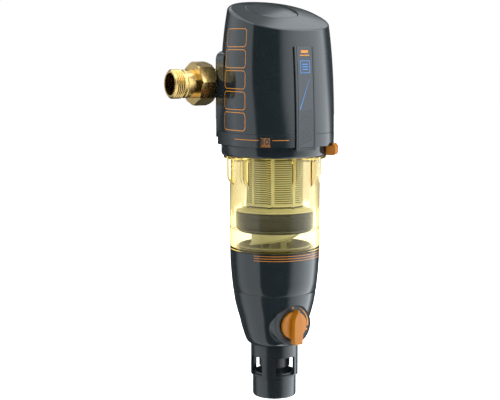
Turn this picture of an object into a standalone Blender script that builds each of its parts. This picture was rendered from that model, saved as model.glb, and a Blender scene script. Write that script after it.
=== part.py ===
"""Backwash water filter with a clear cup, a month dial, a drain valve and an air gap outlet.

Metres, +Z up. The origin is on the axis of the water pipe, midway between the two unions.
The pipe runs along X, the front of the filter faces -Y and the cup hangs below the head.
Pieces round the filter's upright axis are children of the empty filter_axis.
"""

import math

import bmesh
import bpy
from mathutils import Matrix, Vector

MM = 0.001

# Clearances
GAP = 0.3 * MM
RUNNING = 0.6 * MM
CUT_SPARE = 10 * MM

# Facets round a turned piece
LARGE = 28
MEDIUM = 20
SMALL = 12

# Places of the axes
AXIS_OFFSET = 45 * MM

# Hood
HOOD_DROP = 53 * MM
HOOD_WALL = 2.5 * MM
HOOD_HALF_WIDTH = 62 * MM
HOOD_FRONT = 64.5 * MM
HOOD_BACK = 55.5 * MM
HOOD_WIDTH_TAPER = 6 * MM
HOOD_FRONT_TAPER = 8.5 * MM
HOOD_BACK_TAPER = 4.4 * MM
HOOD_TAPER_FROM = -61 * MM
HOOD_TAPER_OVER = 130 * MM
HOOD_FRONT_SQUARENESS = 2.5
HOOD_BACK_SQUARENESS = 2.2
ROOF_HEIGHT = 78.5 * MM
ROOF_SLOPE = 0.33
ROOF_DOME = 1.2 * MM
ROOF_FRONT_EDGE = 1.2 * MM
ROOF_BACK_EDGE = 8 * MM
HOOD_TURNS = 40
EAR_HALF_WIDTH = 61 * MM
EAR_DEPTH = 25 * MM
EAR_TOP = 37 * MM
EAR_CORNER = 9 * MM
REAR_CUT_HALF = 33.5 * MM
REAR_COVER_THICK = 2.8 * MM
REAR_COVER_DROP = 59.7 * MM
TOP_CAP_RADIUS = 31 * MM
TOP_CAP_BACK = 9 * MM
TOP_CAP_THICK = 2.2 * MM
TOP_CAP_SKIRT = 5 * MM

# Rail and label strip on the hood's front
RAIL_HALF_WIDTH = 12.75 * MM
RAIL_TOP = 42 * MM
RAIL_DROP = 71.4 * MM
RAIL_PROUD = 1.9 * MM
RAIL_FLOOR = 1.0 * MM
RAIL_RIB = 2.9 * MM
RAIL_FOOT = 3.6 * MM
LABEL_THICK = 0.6 * MM

# Base ring and month dial
BASE_HEIGHT = 14.2 * MM
BASE_WALL = 2.5 * MM
BASE_CORNER = 4 * MM
WINDOW_ANGLE = -40
WINDOW_SIZE = 10 * MM
MONTH_HEIGHT = 12.2 * MM
MONTH_RADIUS = 61 * MM
MONTH_CHAMFER = 2.5 * MM
BAND_THICK = 1.6 * MM
TAB_ANGLE = 40
TAB_WIDTH = 11 * MM
TAB_REACH = 73.4 * MM
TAB_LIP = 2.8 * MM
TAB_LIP_INNER = 69 * MM
TAB_DROP = 10.9 * MM

# Head
HEAD_FLANGE_RADIUS = 56.2 * MM
HEAD_NECK_RADIUS = 46.5 * MM
HEAD_RADIUS = 34 * MM
HEAD_TOP = 44 * MM
HEAD_BORE = 8 * MM
HEAD_TUBE_RADIUS = 27.5 * MM
HEAD_TUBE_BORE = 21 * MM
HEAD_TUBE_END = 78 * MM
CAP_RADIUS = 16 * MM
CAP_FLANGE_RADIUS = 20.5 * MM
CAP_DEPTH = 12 * MM
CAP_ACROSS_FLATS = 27 * MM
CAP_HEX_HEIGHT = 9 * MM
SEAL_THICK = 2.4 * MM

# Connection piece and unions
FLANGE_FACE = 10 * MM
FLANGE_RADIUS = 31 * MM
FLANGE_THICK = 6 * MM
GASKET_THICK = 2 * MM
NECK_RADIUS = 18 * MM
RUN_RADIUS = 16.5 * MM
PIPE_BORE = 12.6 * MM
PORT_WALL = 2.5 * MM
RING_PORT_RADIUS = 15.5 * MM
BOLT_CIRCLE = 24.5 * MM
BOLT_RADIUS = 3 * MM
BOLT_HEAD_RADIUS = 5 * MM
BOLT_HEAD_HEIGHT = 5 * MM
UNION_THREAD_RADIUS = 20.5 * MM
UNION_THREAD_LENGTH = 11.5 * MM
INLET_REACH = 110 * MM
OUTLET_REACH = 95 * MM
PIPE_THREAD_RADIUS = 16.6 * MM
COLLAR_RADIUS = 16.0 * MM
COLLAR_SHARE = 3 / 7
NUT_OUTER_END = 82 * MM
NUT_LENGTH = 20.6 * MM
NUT_ACROSS_FLATS = 46 * MM
NUT_WEB = 2 * MM
NUT_CHAMFER = 4.6 * MM
NUT_SIDES = 8
NUT_TURN = -5
TAIL_FLANGE_THICK = 3.4 * MM

# Cup
CUP_BORE = 45 * MM
CUP_WALL = 6.3 * MM
CUP_RIM_RADIUS = 58.4 * MM
CUP_RIM_HEIGHT = 2.7 * MM
CUP_SPIGOT_RADIUS = 50 * MM
CUP_SPIGOT_LENGTH = 14.3 * MM
CUP_BODY_LENGTH = 103.7 * MM
CUP_FOOT = 2.5 * MM
CUP_SLEEVE_RADIUS = 45 * MM
CUP_SLEEVE_BORE = 40.2 * MM
GRIP_COUNT = 12
GRIP_ANGLE = -7.5
GRIP_RADIUS = 57.7 * MM
GRIP_WIDTH = 4.4 * MM
GRIP_LENGTH = 21 * MM
GRIP_RUNOUT = 10 * MM

# Strainer insert
CAGE_RADIUS = 32 * MM
CAGE_RING_DEPTH = 1.9 * MM
CAGE_PITCH = 3.8 * MM
CAGE_RING_HEIGHT = 1.6 * MM
CAGE_RIBS = 8
CAGE_RIB_WIDTH = 3.4 * MM
CAGE_RIB_ANGLE = 10
CAGE_TOP_DROP = 70 * MM
CAGE_COLLAR_HEIGHT = 13 * MM
CAGE_ABOVE_FOOT = 50.7 * MM
CAGE_FOOT_HEIGHT = 2 * MM
MESH_THICK = 0.7 * MM
STRAINER_SEAL_HEIGHT = 1.1 * MM
COLLAR_PLATE_RADIUS = 39 * MM
COLLAR_RIM_RADIUS = 43.6 * MM
COLLAR_HEIGHT = 5.2 * MM
COLLAR_RIM_HEIGHT = 1.7 * MM
PISTON_HEIGHT = 23.5 * MM
PISTON_SKIRT = 18.6 * MM
PISTON_FOOT_RADIUS = 40 * MM
PISTON_WALL = 4 * MM
PISTON_WEB = 3.5 * MM
PISTON_HOLE = 19 * MM
PISTON_SEAL_HEIGHT = 2 * MM
DRUM_RADIUS = 27 * MM
DRUM_WALL = 2 * MM
DRUM_LIP = 1.8 * MM
DRUM_LIP_HEIGHT = 1.6 * MM
DRUM_SHORT = 2.4 * MM
DRUM_RAMP = 15 * MM
DRUM_HIGH_ANGLE = 60
ROD_RADIUS = 3.5 * MM
ROD_TOP_DROP = 50 * MM
ROD_SPIDER_DROP = 52 * MM
ROD_SPIDER_HEIGHT = 3 * MM
ROD_SEAT_RADIUS = 17 * MM
ROD_SEAT_HEIGHT = 3 * MM
SPRING_LENGTH = 21 * MM
SPRING_RADIUS = 12 * MM
SPRING_WIRE = 1.1 * MM
SPRING_TURNS = 4
ROTOR_BELOW_TOP = 20 * MM
ROTOR_ABOVE_FOOT = 6 * MM
ROTOR_REACH = 26 * MM
ROTOR_BARS = 3
ROTOR_RING_HEIGHT = 3 * MM
ROTOR_HUB_WALL = 2.4 * MM

# Sump
FUNNEL_RADIUS = 41.3 * MM
FUNNEL_RIM_HEIGHT = 2 * MM
FUNNEL_MOUTH = 22 * MM
FUNNEL_DEPTH = 16 * MM
FUNNEL_WALL = 2 * MM
FUNNEL_LEDGE = 3 * MM
OUTLET_CAGE_RADIUS = 19.6 * MM
OUTLET_POSTS = 6
OUTLET_POST_WIDTH = 7.5 * MM
OUTLET_POST_DEPTH = 3 * MM
OUTLET_CAGE_HEIGHT = 24 * MM
OUTLET_RING_HEIGHT = 2.5 * MM

# Shroud and valve housing
SHROUD_TOP_WALL = 5.9 * MM
SHROUD_BOTTOM_WALL = 2.4 * MM
SHROUD_LENGTH = 48 * MM
HOUSING_RADIUS = 47.4 * MM
HOUSING_LENGTH = 61.7 * MM
HOUSING_SPIGOT_LENGTH = 30 * MM
HOUSING_WALL = 4 * MM
HOUSING_FOOT_RADIUS = 29 * MM
VALVE_ABOVE_FOOT = 27 * MM
BOSS_RADIUS = 21.5 * MM
BOSS_SET_BACK = 8.9 * MM
DIAL_RING_THICK = 2 * MM
DIAL_RING_WIDTH = 4.4 * MM

# Drain valve
BALL_RADIUS = 14 * MM
BALL_BORE = 9 * MM
BALL_FACETS = 16
SEAT_RADIUS = 15.2 * MM
SEAT_NEAR = 8 * MM
SEAT_FAR = 13 * MM
STEM_RADIUS = 4 * MM
STEM_COLLAR_RADIUS = 6 * MM
STEM_SEAL_WIDTH = 2 * MM
TANG_WIDTH = 3 * MM
TANG_DEPTH = 3.4 * MM
TANG_HEIGHT = 7 * MM
KNOB_RADIUS = 15.7 * MM
KNOB_DISC_THICK = 6.5 * MM
KNOB_EDGE = 1.5 * MM
GRIP_BAR_WIDTH = 11.5 * MM
GRIP_BAR_PROUD = 14.5 * MM
GRIP_BAR_TIP = 18.3 * MM
GRIP_BAR_TAIL = 20 * MM
GRIP_BAR_SHOULDER = 8 * MM
SCREW_HEAD_RADIUS = 3 * MM
SCREW_RADIUS = 1.6 * MM

# Air gap outlet
AIR_GAP_RADIUS = 27.2 * MM
AIR_GAP_WALL = 3 * MM
AIR_GAP_LENGTH = 36.8 * MM
AIR_GAP_PLATE = 3 * MM
AIR_GAP_FOOT = 1.8 * MM
SLOT_HEIGHT = 21 * MM
SLOT_ANGLE = 55
SLOT_COUNT = 4
NOZZLE_RADIUS = 17.7 * MM
NOZZLE_WALL = 2.2 * MM
NOZZLE_LENGTH = 24 * MM
SPIGOT_RADIUS = 25 * MM
SPIGOT_WALL = 2.6 * MM
SPIGOT_LENGTH = 24.9 * MM
SPIGOT_EDGE = 1.5 * MM
SLEEVE_RISE = 8 * MM

# Levels worked out from the sizes above
HOOD_BOTTOM = -HOOD_DROP
BASE_TOP = HOOD_BOTTOM - GAP
BASE_BOTTOM = BASE_TOP - BASE_HEIGHT
MONTH_TOP = BASE_BOTTOM - GAP
MONTH_BOTTOM = MONTH_TOP - MONTH_HEIGHT
CUP_RIM_TOP = MONTH_BOTTOM - GAP
CUP_RIM_BOTTOM = CUP_RIM_TOP - CUP_RIM_HEIGHT
HEAD_BOTTOM = CUP_RIM_TOP + GAP
HEAD_SHOULDER = BASE_TOP - BASE_WALL - GAP
CUP_SPIGOT_TOP = CUP_RIM_TOP + CUP_SPIGOT_LENGTH
CAGE_TOP = -CAGE_TOP_DROP
SOCKET_TOP = max(CUP_SPIGOT_TOP + SEAL_THICK, CAGE_TOP) + 2 * GAP
SOCKET_RADIUS = CUP_SPIGOT_RADIUS + GAP
CUP_BODY_BOTTOM = CUP_RIM_BOTTOM - CUP_BODY_LENGTH
SHROUD_TOP = CUP_BODY_BOTTOM - GAP
SHROUD_BOTTOM = SHROUD_TOP - SHROUD_LENGTH
HOUSING_TOP = SHROUD_BOTTOM - GAP
HOUSING_BOTTOM = HOUSING_TOP - HOUSING_LENGTH
NECK_TOP = HOUSING_BOTTOM - GAP
NECK_BOTTOM = NECK_TOP - AIR_GAP_LENGTH
SPIGOT_TOP = NECK_BOTTOM - GAP
SPIGOT_BOTTOM = SPIGOT_TOP - SPIGOT_LENGTH
VALVE_Z = HOUSING_BOTTOM + VALVE_ABOVE_FOOT
BOSS_FACE = HOUSING_RADIUS - BOSS_SET_BACK
CAGE_BOTTOM = CUP_BODY_BOTTOM + CAGE_ABOVE_FOOT
SEAL_RING_TOP = CAGE_BOTTOM - GAP
COLLAR_TOP = SEAL_RING_TOP - STRAINER_SEAL_HEIGHT - GAP
COLLAR_BOTTOM = COLLAR_TOP - COLLAR_HEIGHT
PISTON_TOP = COLLAR_BOTTOM - GAP
PISTON_BOTTOM = PISTON_TOP - PISTON_HEIGHT
DRUM_TOP = PISTON_BOTTOM - GAP
SPRING_BOTTOM = COLLAR_BOTTOM - GAP - SPRING_LENGTH
ROD_SEAT_TOP = SPRING_BOTTOM - GAP
CUP_SHOULDER = CUP_BODY_BOTTOM + CUP_FOOT
FUNNEL_TOP = CUP_SHOULDER + FUNNEL_RIM_HEIGHT + GAP
FUNNEL_BOTTOM = FUNNEL_TOP - FUNNEL_DEPTH - FUNNEL_RIM_HEIGHT - FUNNEL_LEDGE
FLANGE_BACK = FLANGE_FACE + GASKET_THICK + 2 * GAP
NUT_INNER_END = NUT_OUTER_END - NUT_LENGTH
TAIL_FLANGE_END = NUT_OUTER_END - NUT_WEB - GAP
TAIL_FACE = TAIL_FLANGE_END - TAIL_FLANGE_THICK
UNION_FACE = TAIL_FACE - GASKET_THICK - 2 * GAP
UNION_BORE = UNION_THREAD_RADIUS + GAP

# Colours and finishes: base colour, roughness, metallic, alpha
FINISHES = {
    "anthracite": ((0.022, 0.027, 0.031), 0.22, 0.0, 1.0),
    "dark_plastic": ((0.012, 0.014, 0.015), 0.4, 0.0, 1.0),
    "orange_plastic": ((0.75, 0.27, 0.02), 0.35, 0.0, 1.0),
    "amber_clear": ((0.85, 0.62, 0.08), 0.08, 0.0, 0.35),
    "clear_plastic": ((0.9, 0.9, 0.9), 0.05, 0.0, 0.3),
    "natural_plastic": ((0.72, 0.7, 0.6), 0.45, 0.0, 1.0),
    "label_film": ((0.05, 0.06, 0.068), 0.35, 0.0, 1.0),
    "brass": ((0.5, 0.33, 0.09), 0.28, 1.0, 1.0),
    "steel": ((0.6, 0.6, 0.62), 0.25, 1.0, 1.0),
    "mesh_steel": ((0.5, 0.5, 0.5), 0.5, 1.0, 1.0),
    "rubber": ((0.01, 0.01, 0.01), 0.7, 0.0, 1.0),
    "seat_plastic": ((0.85, 0.85, 0.82), 0.4, 0.0, 1.0),
}


def clear_scene():
    """Removes whatever the scene holds."""
    for obj in list(bpy.data.objects):
        bpy.data.objects.remove(obj, do_unlink=True)


def collection(name):
    """A collection of that name, linked to the scene."""
    made = bpy.data.collections.new(name)
    bpy.context.scene.collection.children.link(made)
    return made


def empty(name, place, parent=None):
    """An empty that carries the pieces of one axis."""
    obj = bpy.data.objects.new(name, None)
    obj.location = place
    obj.parent = parent
    PARTS.objects.link(obj)
    return obj


def finish(name):
    """The material of one finish, made once."""
    if name in bpy.data.materials:
        return bpy.data.materials[name]
    colour, roughness, metallic, alpha = FINISHES[name]
    material = bpy.data.materials.new(name)
    material.use_nodes = True
    shader = material.node_tree.nodes["Principled BSDF"]
    shader.inputs["Base Color"].default_value = (*colour, 1.0)
    shader.inputs["Roughness"].default_value = roughness
    shader.inputs["Metallic"].default_value = metallic
    shader.inputs["Alpha"].default_value = alpha
    return material


def part(name, mesh, look, parent=None):
    """A piece of the object, with its own material."""
    obj = bpy.data.objects.new(name, mesh)
    own = finish(look).copy()
    own.name = name
    mesh.materials.append(own)
    obj.parent = parent
    PARTS.objects.link(obj)
    return obj


def helper(name, mesh, parent=None):
    """A shape that only cuts or extends a piece."""
    obj = bpy.data.objects.new(name, mesh)
    obj.parent = parent
    obj.hide_render = True
    obj.display_type = "WIRE"
    CUTTERS.objects.link(obj)
    return obj


def combine(obj, other, operation):
    """Adds a Boolean of the other object to a piece."""
    modifier = obj.modifiers.new(other.name, "BOOLEAN")
    modifier.operation = operation
    modifier.object = other
    modifier.solver = "EXACT"


def cut(obj, *others):
    """Takes the other shapes away from a piece."""
    for other in others:
        combine(obj, other, "DIFFERENCE")


def fuse(obj, *others):
    """Adds the other shapes to a piece."""
    for other in others:
        combine(obj, other, "UNION")


def mesh_of(bm, name):
    """A mesh from a bmesh, shaded smooth with sharp edges kept."""
    bmesh.ops.recalc_face_normals(bm, faces=bm.faces[:])
    mesh = bpy.data.meshes.new(name)
    bm.to_mesh(mesh)
    bm.free()
    mesh.shade_smooth()
    mesh.set_sharp_from_angle(angle=math.radians(35))
    return mesh


def turned(name, profile, make, steps, look=None, parent=None):
    """A turned piece: the profile's (radius, height) points run down its outer side."""
    closed = profile[0][0] > 0
    mesh = bpy.data.meshes.new(name)
    count = len(profile)
    edges = [(i, (i + 1) % count) for i in range(count if closed else count - 1)]
    mesh.from_pydata([(r, 0, z) for r, z in profile], edges, [])
    obj = make(name, mesh, look, parent) if make is part else make(name, mesh, parent)
    screw = obj.modifiers.new("Turn", "SCREW")
    screw.steps = steps
    screw.render_steps = steps
    screw.use_merge_vertices = True
    screw.merge_threshold = 0.00001
    screw.use_smooth_shade = True
    return obj


def turned_part(name, look, steps, profile, parent=None):
    """A turned piece of the object."""
    return turned(name, profile, part, steps, look, parent)


def turned_helper(name, steps, profile, parent=None):
    """A turned cutter or extension."""
    return turned(name, profile, helper, steps, None, parent)


def tube(inner, outer, low, high):
    """The profile of a plain ring."""
    return [(outer, high), (outer, low), (inner, low), (inner, high)]


def rod(radius, low, high):
    """The profile of a plain round bar."""
    return [(0, high), (radius, high), (radius, low), (0, low)]


def box_mesh(name, low, high):
    """A box between two corners."""
    bm = bmesh.new()
    bmesh.ops.create_cube(bm, size=1)
    size = [b - a for a, b in zip(low, high)]
    bmesh.ops.scale(bm, vec=size, verts=bm.verts)
    middle = [(a + b) / 2 for a, b in zip(low, high)]
    bmesh.ops.translate(bm, vec=middle, verts=bm.verts)
    return mesh_of(bm, name)


def bar_mesh(name, start, end, radius, steps):
    """A round bar between two points."""
    start = Vector(start)
    run = Vector(end) - start
    turn = run.to_track_quat("Z", "Y").to_matrix().to_4x4()
    place = Matrix.Translation(start + run / 2) @ turn
    bm = bmesh.new()
    bmesh.ops.create_cone(
        bm,
        cap_ends=True,
        segments=steps,
        radius1=radius,
        radius2=radius,
        depth=run.length,
        matrix=place,
    )
    return mesh_of(bm, name)


def plate_mesh(name, outline, low, high, facing="Z"):
    """A flat outline, filled and extruded between two heights along Z, or along Y from the back."""
    curve = bpy.data.curves.new(name, "CURVE")
    curve.dimensions = "2D"
    curve.fill_mode = "BOTH"
    curve.extrude = (high - low) / 2
    spline = curve.splines.new("POLY")
    spline.points.add(len(outline) - 1)
    for point, (x, y) in zip(spline.points, outline):
        point.co = (x, y, 0, 1)
    spline.use_cyclic_u = True
    obj = bpy.data.objects.new(name, curve)
    CUTTERS.objects.link(obj)
    graph = bpy.context.evaluated_depsgraph_get()
    mesh = bpy.data.meshes.new_from_object(obj.evaluated_get(graph))
    bpy.data.objects.remove(obj, do_unlink=True)
    bm = bmesh.new()
    bm.from_mesh(mesh)
    bmesh.ops.remove_doubles(bm, verts=bm.verts, dist=0.000001)
    bmesh.ops.translate(bm, vec=(0, 0, (low + high) / 2), verts=bm.verts)
    if facing == "Y":
        swap = Matrix(((1, 0, 0, 0), (0, 0, 1, 0), (0, 1, 0, 0), (0, 0, 0, 1)))
        bmesh.ops.transform(bm, matrix=swap, verts=bm.verts)
    if facing == "X":
        swap = Matrix(((0, 0, 1, 0), (1, 0, 0, 0), (0, 1, 0, 0), (0, 0, 0, 1)))
        bmesh.ops.transform(bm, matrix=swap, verts=bm.verts)
    return mesh_of(bm, name)


def loft_mesh(name, rings, pole=None):
    """A closed solid through rings of points, bottom to top, with a pole over the last ring."""
    bm = bmesh.new()
    rows = [[bm.verts.new(point) for point in ring] for ring in rings]
    count = len(rows[0])
    for lower, upper in zip(rows, rows[1:]):
        for i in range(count):
            j = (i + 1) % count
            bm.faces.new((lower[i], lower[j], upper[j], upper[i]))
    bm.faces.new(reversed(rows[0]))
    if pole is None:
        bm.faces.new(rows[-1])
    else:
        top = bm.verts.new(pole)
        for i in range(count):
            bm.faces.new((rows[-1][i], rows[-1][(i + 1) % count], top))
    return mesh_of(bm, name)


def sweep_mesh(name, sections):
    """A closed ring through cross sections that follow each other round the axis."""
    bm = bmesh.new()
    rows = [[bm.verts.new(point) for point in section] for section in sections]
    count = len(rows[0])
    for row, following in zip(rows, rows[1:] + rows[:1]):
        for i in range(count):
            j = (i + 1) % count
            bm.faces.new((row[i], row[j], following[j], following[i]))
    return mesh_of(bm, name)


def polar(radius, degrees, z=0.0):
    """A point at an angle from the front, counted towards +X."""
    angle = math.radians(degrees)
    return Vector((radius * math.sin(angle), -radius * math.cos(angle), z))


def facing(degrees):
    """The turn about Z that takes the front to an angle counted towards +X."""
    return Matrix.Rotation(math.radians(degrees), 4, "Z")


def arc(centre, radius, start, end, steps):
    """Points on an arc, in degrees counter-clockwise."""
    points = []
    for i in range(steps + 1):
        angle = math.radians(start + (end - start) * i / steps)
        points.append((centre[0] + radius * math.cos(angle), centre[1] + radius * math.sin(angle)))
    return points


def merged(name, meshes, places):
    """One mesh of several separate solids, each at its own place."""
    bm = bmesh.new()
    for mesh, place in zip(meshes, places):
        piece = mesh.copy()
        piece.transform(place)
        bm.from_mesh(piece)
        bpy.data.meshes.remove(piece)
    return mesh_of(bm, name)


def copies(name, mesh, count, start=0.0):
    """Equal copies of a mesh round the axis, as one mesh."""
    places = [facing(start + 360 * i / count) for i in range(count)]
    return merged(name, [mesh] * count, places)


def superellipse(turn, half_width, depth, squareness):
    """A point of a squarish oval, at an angle from the front."""
    across = math.sin(turn)
    along = math.cos(turn)
    x = half_width * math.copysign(abs(across) ** (2 / squareness), across)
    y = -depth * math.copysign(abs(along) ** (2 / squareness), along)
    return x, y


def hood_plan(z):
    """Half width, front depth and back depth of the hood at a height."""
    rise = max(0.0, (z - HOOD_TAPER_FROM) / HOOD_TAPER_OVER)
    half_width = HOOD_HALF_WIDTH - HOOD_WIDTH_TAPER * rise**3.1
    front = HOOD_FRONT - HOOD_FRONT_TAPER * rise**1.9
    back = HOOD_BACK - HOOD_BACK_TAPER * rise**3.8
    return half_width, front, back


def roof_edge(turn):
    """The radius between the hood's side and its roof: crisp in front, round behind."""
    share = (1 - math.cos(turn)) / 2
    return ROOF_FRONT_EDGE + (ROOF_BACK_EDGE - ROOF_FRONT_EDGE) * share**1.5


def hood_point(turn, share, inset, sink):
    """A point on the hood's side wall, at a share of the height to the roof."""
    y = 0.0
    for _ in range(5):
        roof = ROOF_HEIGHT + ROOF_SLOPE * y - sink
        z = HOOD_BOTTOM + share * (roof - HOOD_BOTTOM)
        half_width, front, back = hood_plan(z)
        if math.cos(turn) >= 0:
            x, y = superellipse(turn, half_width - inset, front - inset, HOOD_FRONT_SQUARENESS)
        else:
            x, y = superellipse(turn, half_width - inset, back - inset, HOOD_BACK_SQUARENESS)
    return Vector((x, y, z))


def hood_barrel(name, inset, levels, rounded):
    """The hood's barrel with its sloping roof, as a closed solid."""
    turns = [2 * math.pi * i / HOOD_TURNS for i in range(HOOD_TURNS)]
    rings = []
    for share in levels:
        rings.append([hood_point(t, share, inset, inset + rounded * roof_edge(t)) for t in turns])
    if inset:
        rings[0] = [point - Vector((0, 0, CUT_SPARE)) for point in rings[0]]
    crown = rings[-1]
    for lean in (30, 60, 90) if rounded else ():
        ring = []
        for turn, foot in zip(turns, crown):
            edge = roof_edge(turn)
            inward = edge * (1 - math.cos(math.radians(lean)))
            near = foot.xy * (1 - inward / foot.xy.length)
            z = ROOF_HEIGHT + ROOF_SLOPE * near.y - edge * (1 - math.sin(math.radians(lean)))
            ring.append(Vector((near.x, near.y, z)))
        rings.append(ring)
    rim = rings[-1]
    for shrink in (0.75, 0.4):
        ring = []
        for point in rim:
            y = point.y * shrink
            z = ROOF_HEIGHT + ROOF_SLOPE * y - inset + ROOF_DOME * (1 - shrink**2)
            ring.append(Vector((point.x * shrink, y, z)))
        rings.append(ring)
    return loft_mesh(name, rings, (0, 0, ROOF_HEIGHT - inset + ROOF_DOME))


def ear_outline(inset, low):
    """The hood's ears seen from the front: a block with round upper corners."""
    half = EAR_HALF_WIDTH - inset
    top = EAR_TOP - inset
    corner = EAR_CORNER - inset
    right = arc((half - corner, top - corner), corner, 0, 90, 4)
    left = arc((corner - half, top - corner), corner, 90, 180, 4)
    return [(-half, low), (half, low), *right, *left]


def rear_block(name, inset):
    """The space behind the hood that the pipe takes."""
    low = (-2 * EAR_HALF_WIDTH, EAR_DEPTH - inset, HOOD_BOTTOM - 2 * CUT_SPARE)
    high = (2 * EAR_HALF_WIDTH, 2 * HOOD_BACK, EAR_TOP + inset)
    return helper(name, box_mesh(name, low, high), FILTER)


def make_hood():
    """The hood: a tapered barrel with a sloping roof, two rear ears and a slot for the pipe."""
    side = [0.0, 0.2, 0.4, 0.6, 0.8, 0.92, 1.0]
    hood = part("hood", hood_barrel("hood", 0.0, side, 1), "anthracite", FILTER)
    ears = plate_mesh("hood_ears", ear_outline(0.0, HOOD_BOTTOM), -EAR_CORNER, EAR_DEPTH, "Y")
    fuse(hood, helper("hood_ears", ears, FILTER))
    cut(hood, rear_block("hood_rear", 0.0))
    inside = [0.0, 0.35, 0.65, 1.0]
    core = helper("hood_core", hood_barrel("hood_core", HOOD_WALL, inside, 0), FILTER)
    outline = ear_outline(HOOD_WALL, HOOD_BOTTOM - CUT_SPARE)
    pocket = plate_mesh("hood_ear_core", outline, -EAR_CORNER, EAR_DEPTH - HOOD_WALL, "Y")
    fuse(core, helper("hood_ear_core", pocket, FILTER))
    cut(core, rear_block("hood_core_rear", HOOD_WALL))
    cut(hood, core)
    slot = [(-REAR_CUT_HALF, HOOD_BOTTOM - CUT_SPARE), (REAR_CUT_HALF, HOOD_BOTTOM - CUT_SPARE)]
    slot += arc((0, 0), REAR_CUT_HALF, 0, 180, 12)
    mesh = plate_mesh("hood_slot", slot, EAR_DEPTH - 2 * HOOD_WALL, EAR_DEPTH + HOOD_WALL, "Y")
    cut(hood, helper("hood_slot", mesh, FILTER))
    hole = turned_helper("hood_hole", LARGE, rod(TOP_CAP_RADIUS, -CUT_SPARE, CUT_SPARE), ROOF)
    cut(hood, hole)


def make_top_cap():
    """The round cap that closes the hole in the roof."""
    outer = TOP_CAP_RADIUS - GAP
    inner = outer - HOOD_WALL
    dome = ROOF_DOME / 2
    low = dome - TOP_CAP_THICK
    profile = [
        (0, ROOF_DOME),
        (outer * 0.6, ROOF_DOME * 0.8),
        (outer - GAP, dome),
        (outer, dome - GAP),
        (outer, low - TOP_CAP_SKIRT),
        (inner, low - TOP_CAP_SKIRT),
        (inner, low),
        (0, low),
    ]
    turned_part("hood_top_cap", "anthracite", LARGE, profile, ROOF)


def rail_outline(back, front, low, high):
    """The rail seen from the side, following the hood's front between two stand-offs."""
    levels = [low + (high - low) * i / 8 for i in range(9)]
    outer = [(-hood_plan(z)[1] - front, z) for z in levels]
    inner = [(-hood_plan(z)[1] - back, z) for z in reversed(levels)]
    return outer + inner


def make_rail():
    """The rail down the hood's front and the label strip that lies in it."""
    low = -RAIL_DROP
    half = RAIL_HALF_WIDTH
    outline = rail_outline(GAP, RAIL_PROUD, low, RAIL_TOP)
    rail = part("rail_frame", plate_mesh("rail_frame", outline, -half, half, "X"), "anthracite", FILTER)
    inner = half - RAIL_RIB
    outline = rail_outline(RAIL_FLOOR, RAIL_PROUD + CUT_SPARE, low + RAIL_FOOT, RAIL_TOP + CUT_SPARE)
    pocket = plate_mesh("rail_pocket", outline, -inner, inner, "X")
    cut(rail, helper("rail_pocket", pocket, FILTER))
    strip = inner - GAP
    back = RAIL_FLOOR + GAP
    outline = rail_outline(back, back + LABEL_THICK, low + RAIL_FOOT + GAP, RAIL_TOP)
    part("label_strip", plate_mesh("label_strip", outline, -strip, strip, "X"), "label_film", FILTER)


def make_rear_cover():
    """The plate behind the hood's ears, with a slot that drops over the pipe's neck."""
    half = EAR_HALF_WIDTH
    low = -REAR_COVER_DROP
    slot = NECK_RADIUS + RUNNING
    corner = EAR_CORNER
    leg = HOOD_HALF_WIDTH * math.cos(math.asin(EAR_DEPTH / HOOD_HALF_WIDTH)) + RUNNING
    outline = [(slot, HOOD_BOTTOM), (leg, HOOD_BOTTOM), (leg, low)]
    outline += arc((half - GAP, low + GAP), GAP, -90, 0, 1)
    outline += arc((half - corner, EAR_TOP - GAP - corner), corner, 0, 90, 4)
    outline += arc((corner - half, EAR_TOP - GAP - corner), corner, 90, 180, 4)
    outline += arc((GAP - half, low + GAP), GAP, 180, 270, 1)
    outline += [(-leg, low), (-leg, HOOD_BOTTOM), (-slot, HOOD_BOTTOM)]
    outline += arc((0, 0), slot, 180, 0, 12)
    front = EAR_DEPTH + GAP
    mesh = plate_mesh("rear_cover", outline, front, front + REAR_COVER_THICK, "Y")
    part("rear_cover", mesh, "anthracite", FILTER)


def base_outline(inset):
    """The base ring's plan: the hood's front curve, two rear corners and a round back."""
    half = HOOD_HALF_WIDTH - inset
    points = []
    for i in range(21):
        turn = math.pi * (i / 20 - 0.5)
        points.append(superellipse(turn, half, HOOD_FRONT - inset, HOOD_FRONT_SQUARENESS))
    back = EAR_DEPTH - inset
    corner = BASE_CORNER - inset
    points += arc((half - corner, back - corner), corner, 0, 90, 3)
    meet = math.degrees(math.asin(back / half))
    points += arc((0, 0), half, meet, 180 - meet, 14)
    points += arc((corner - half, back - corner), corner, 90, 180, 3)
    return points


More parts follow.
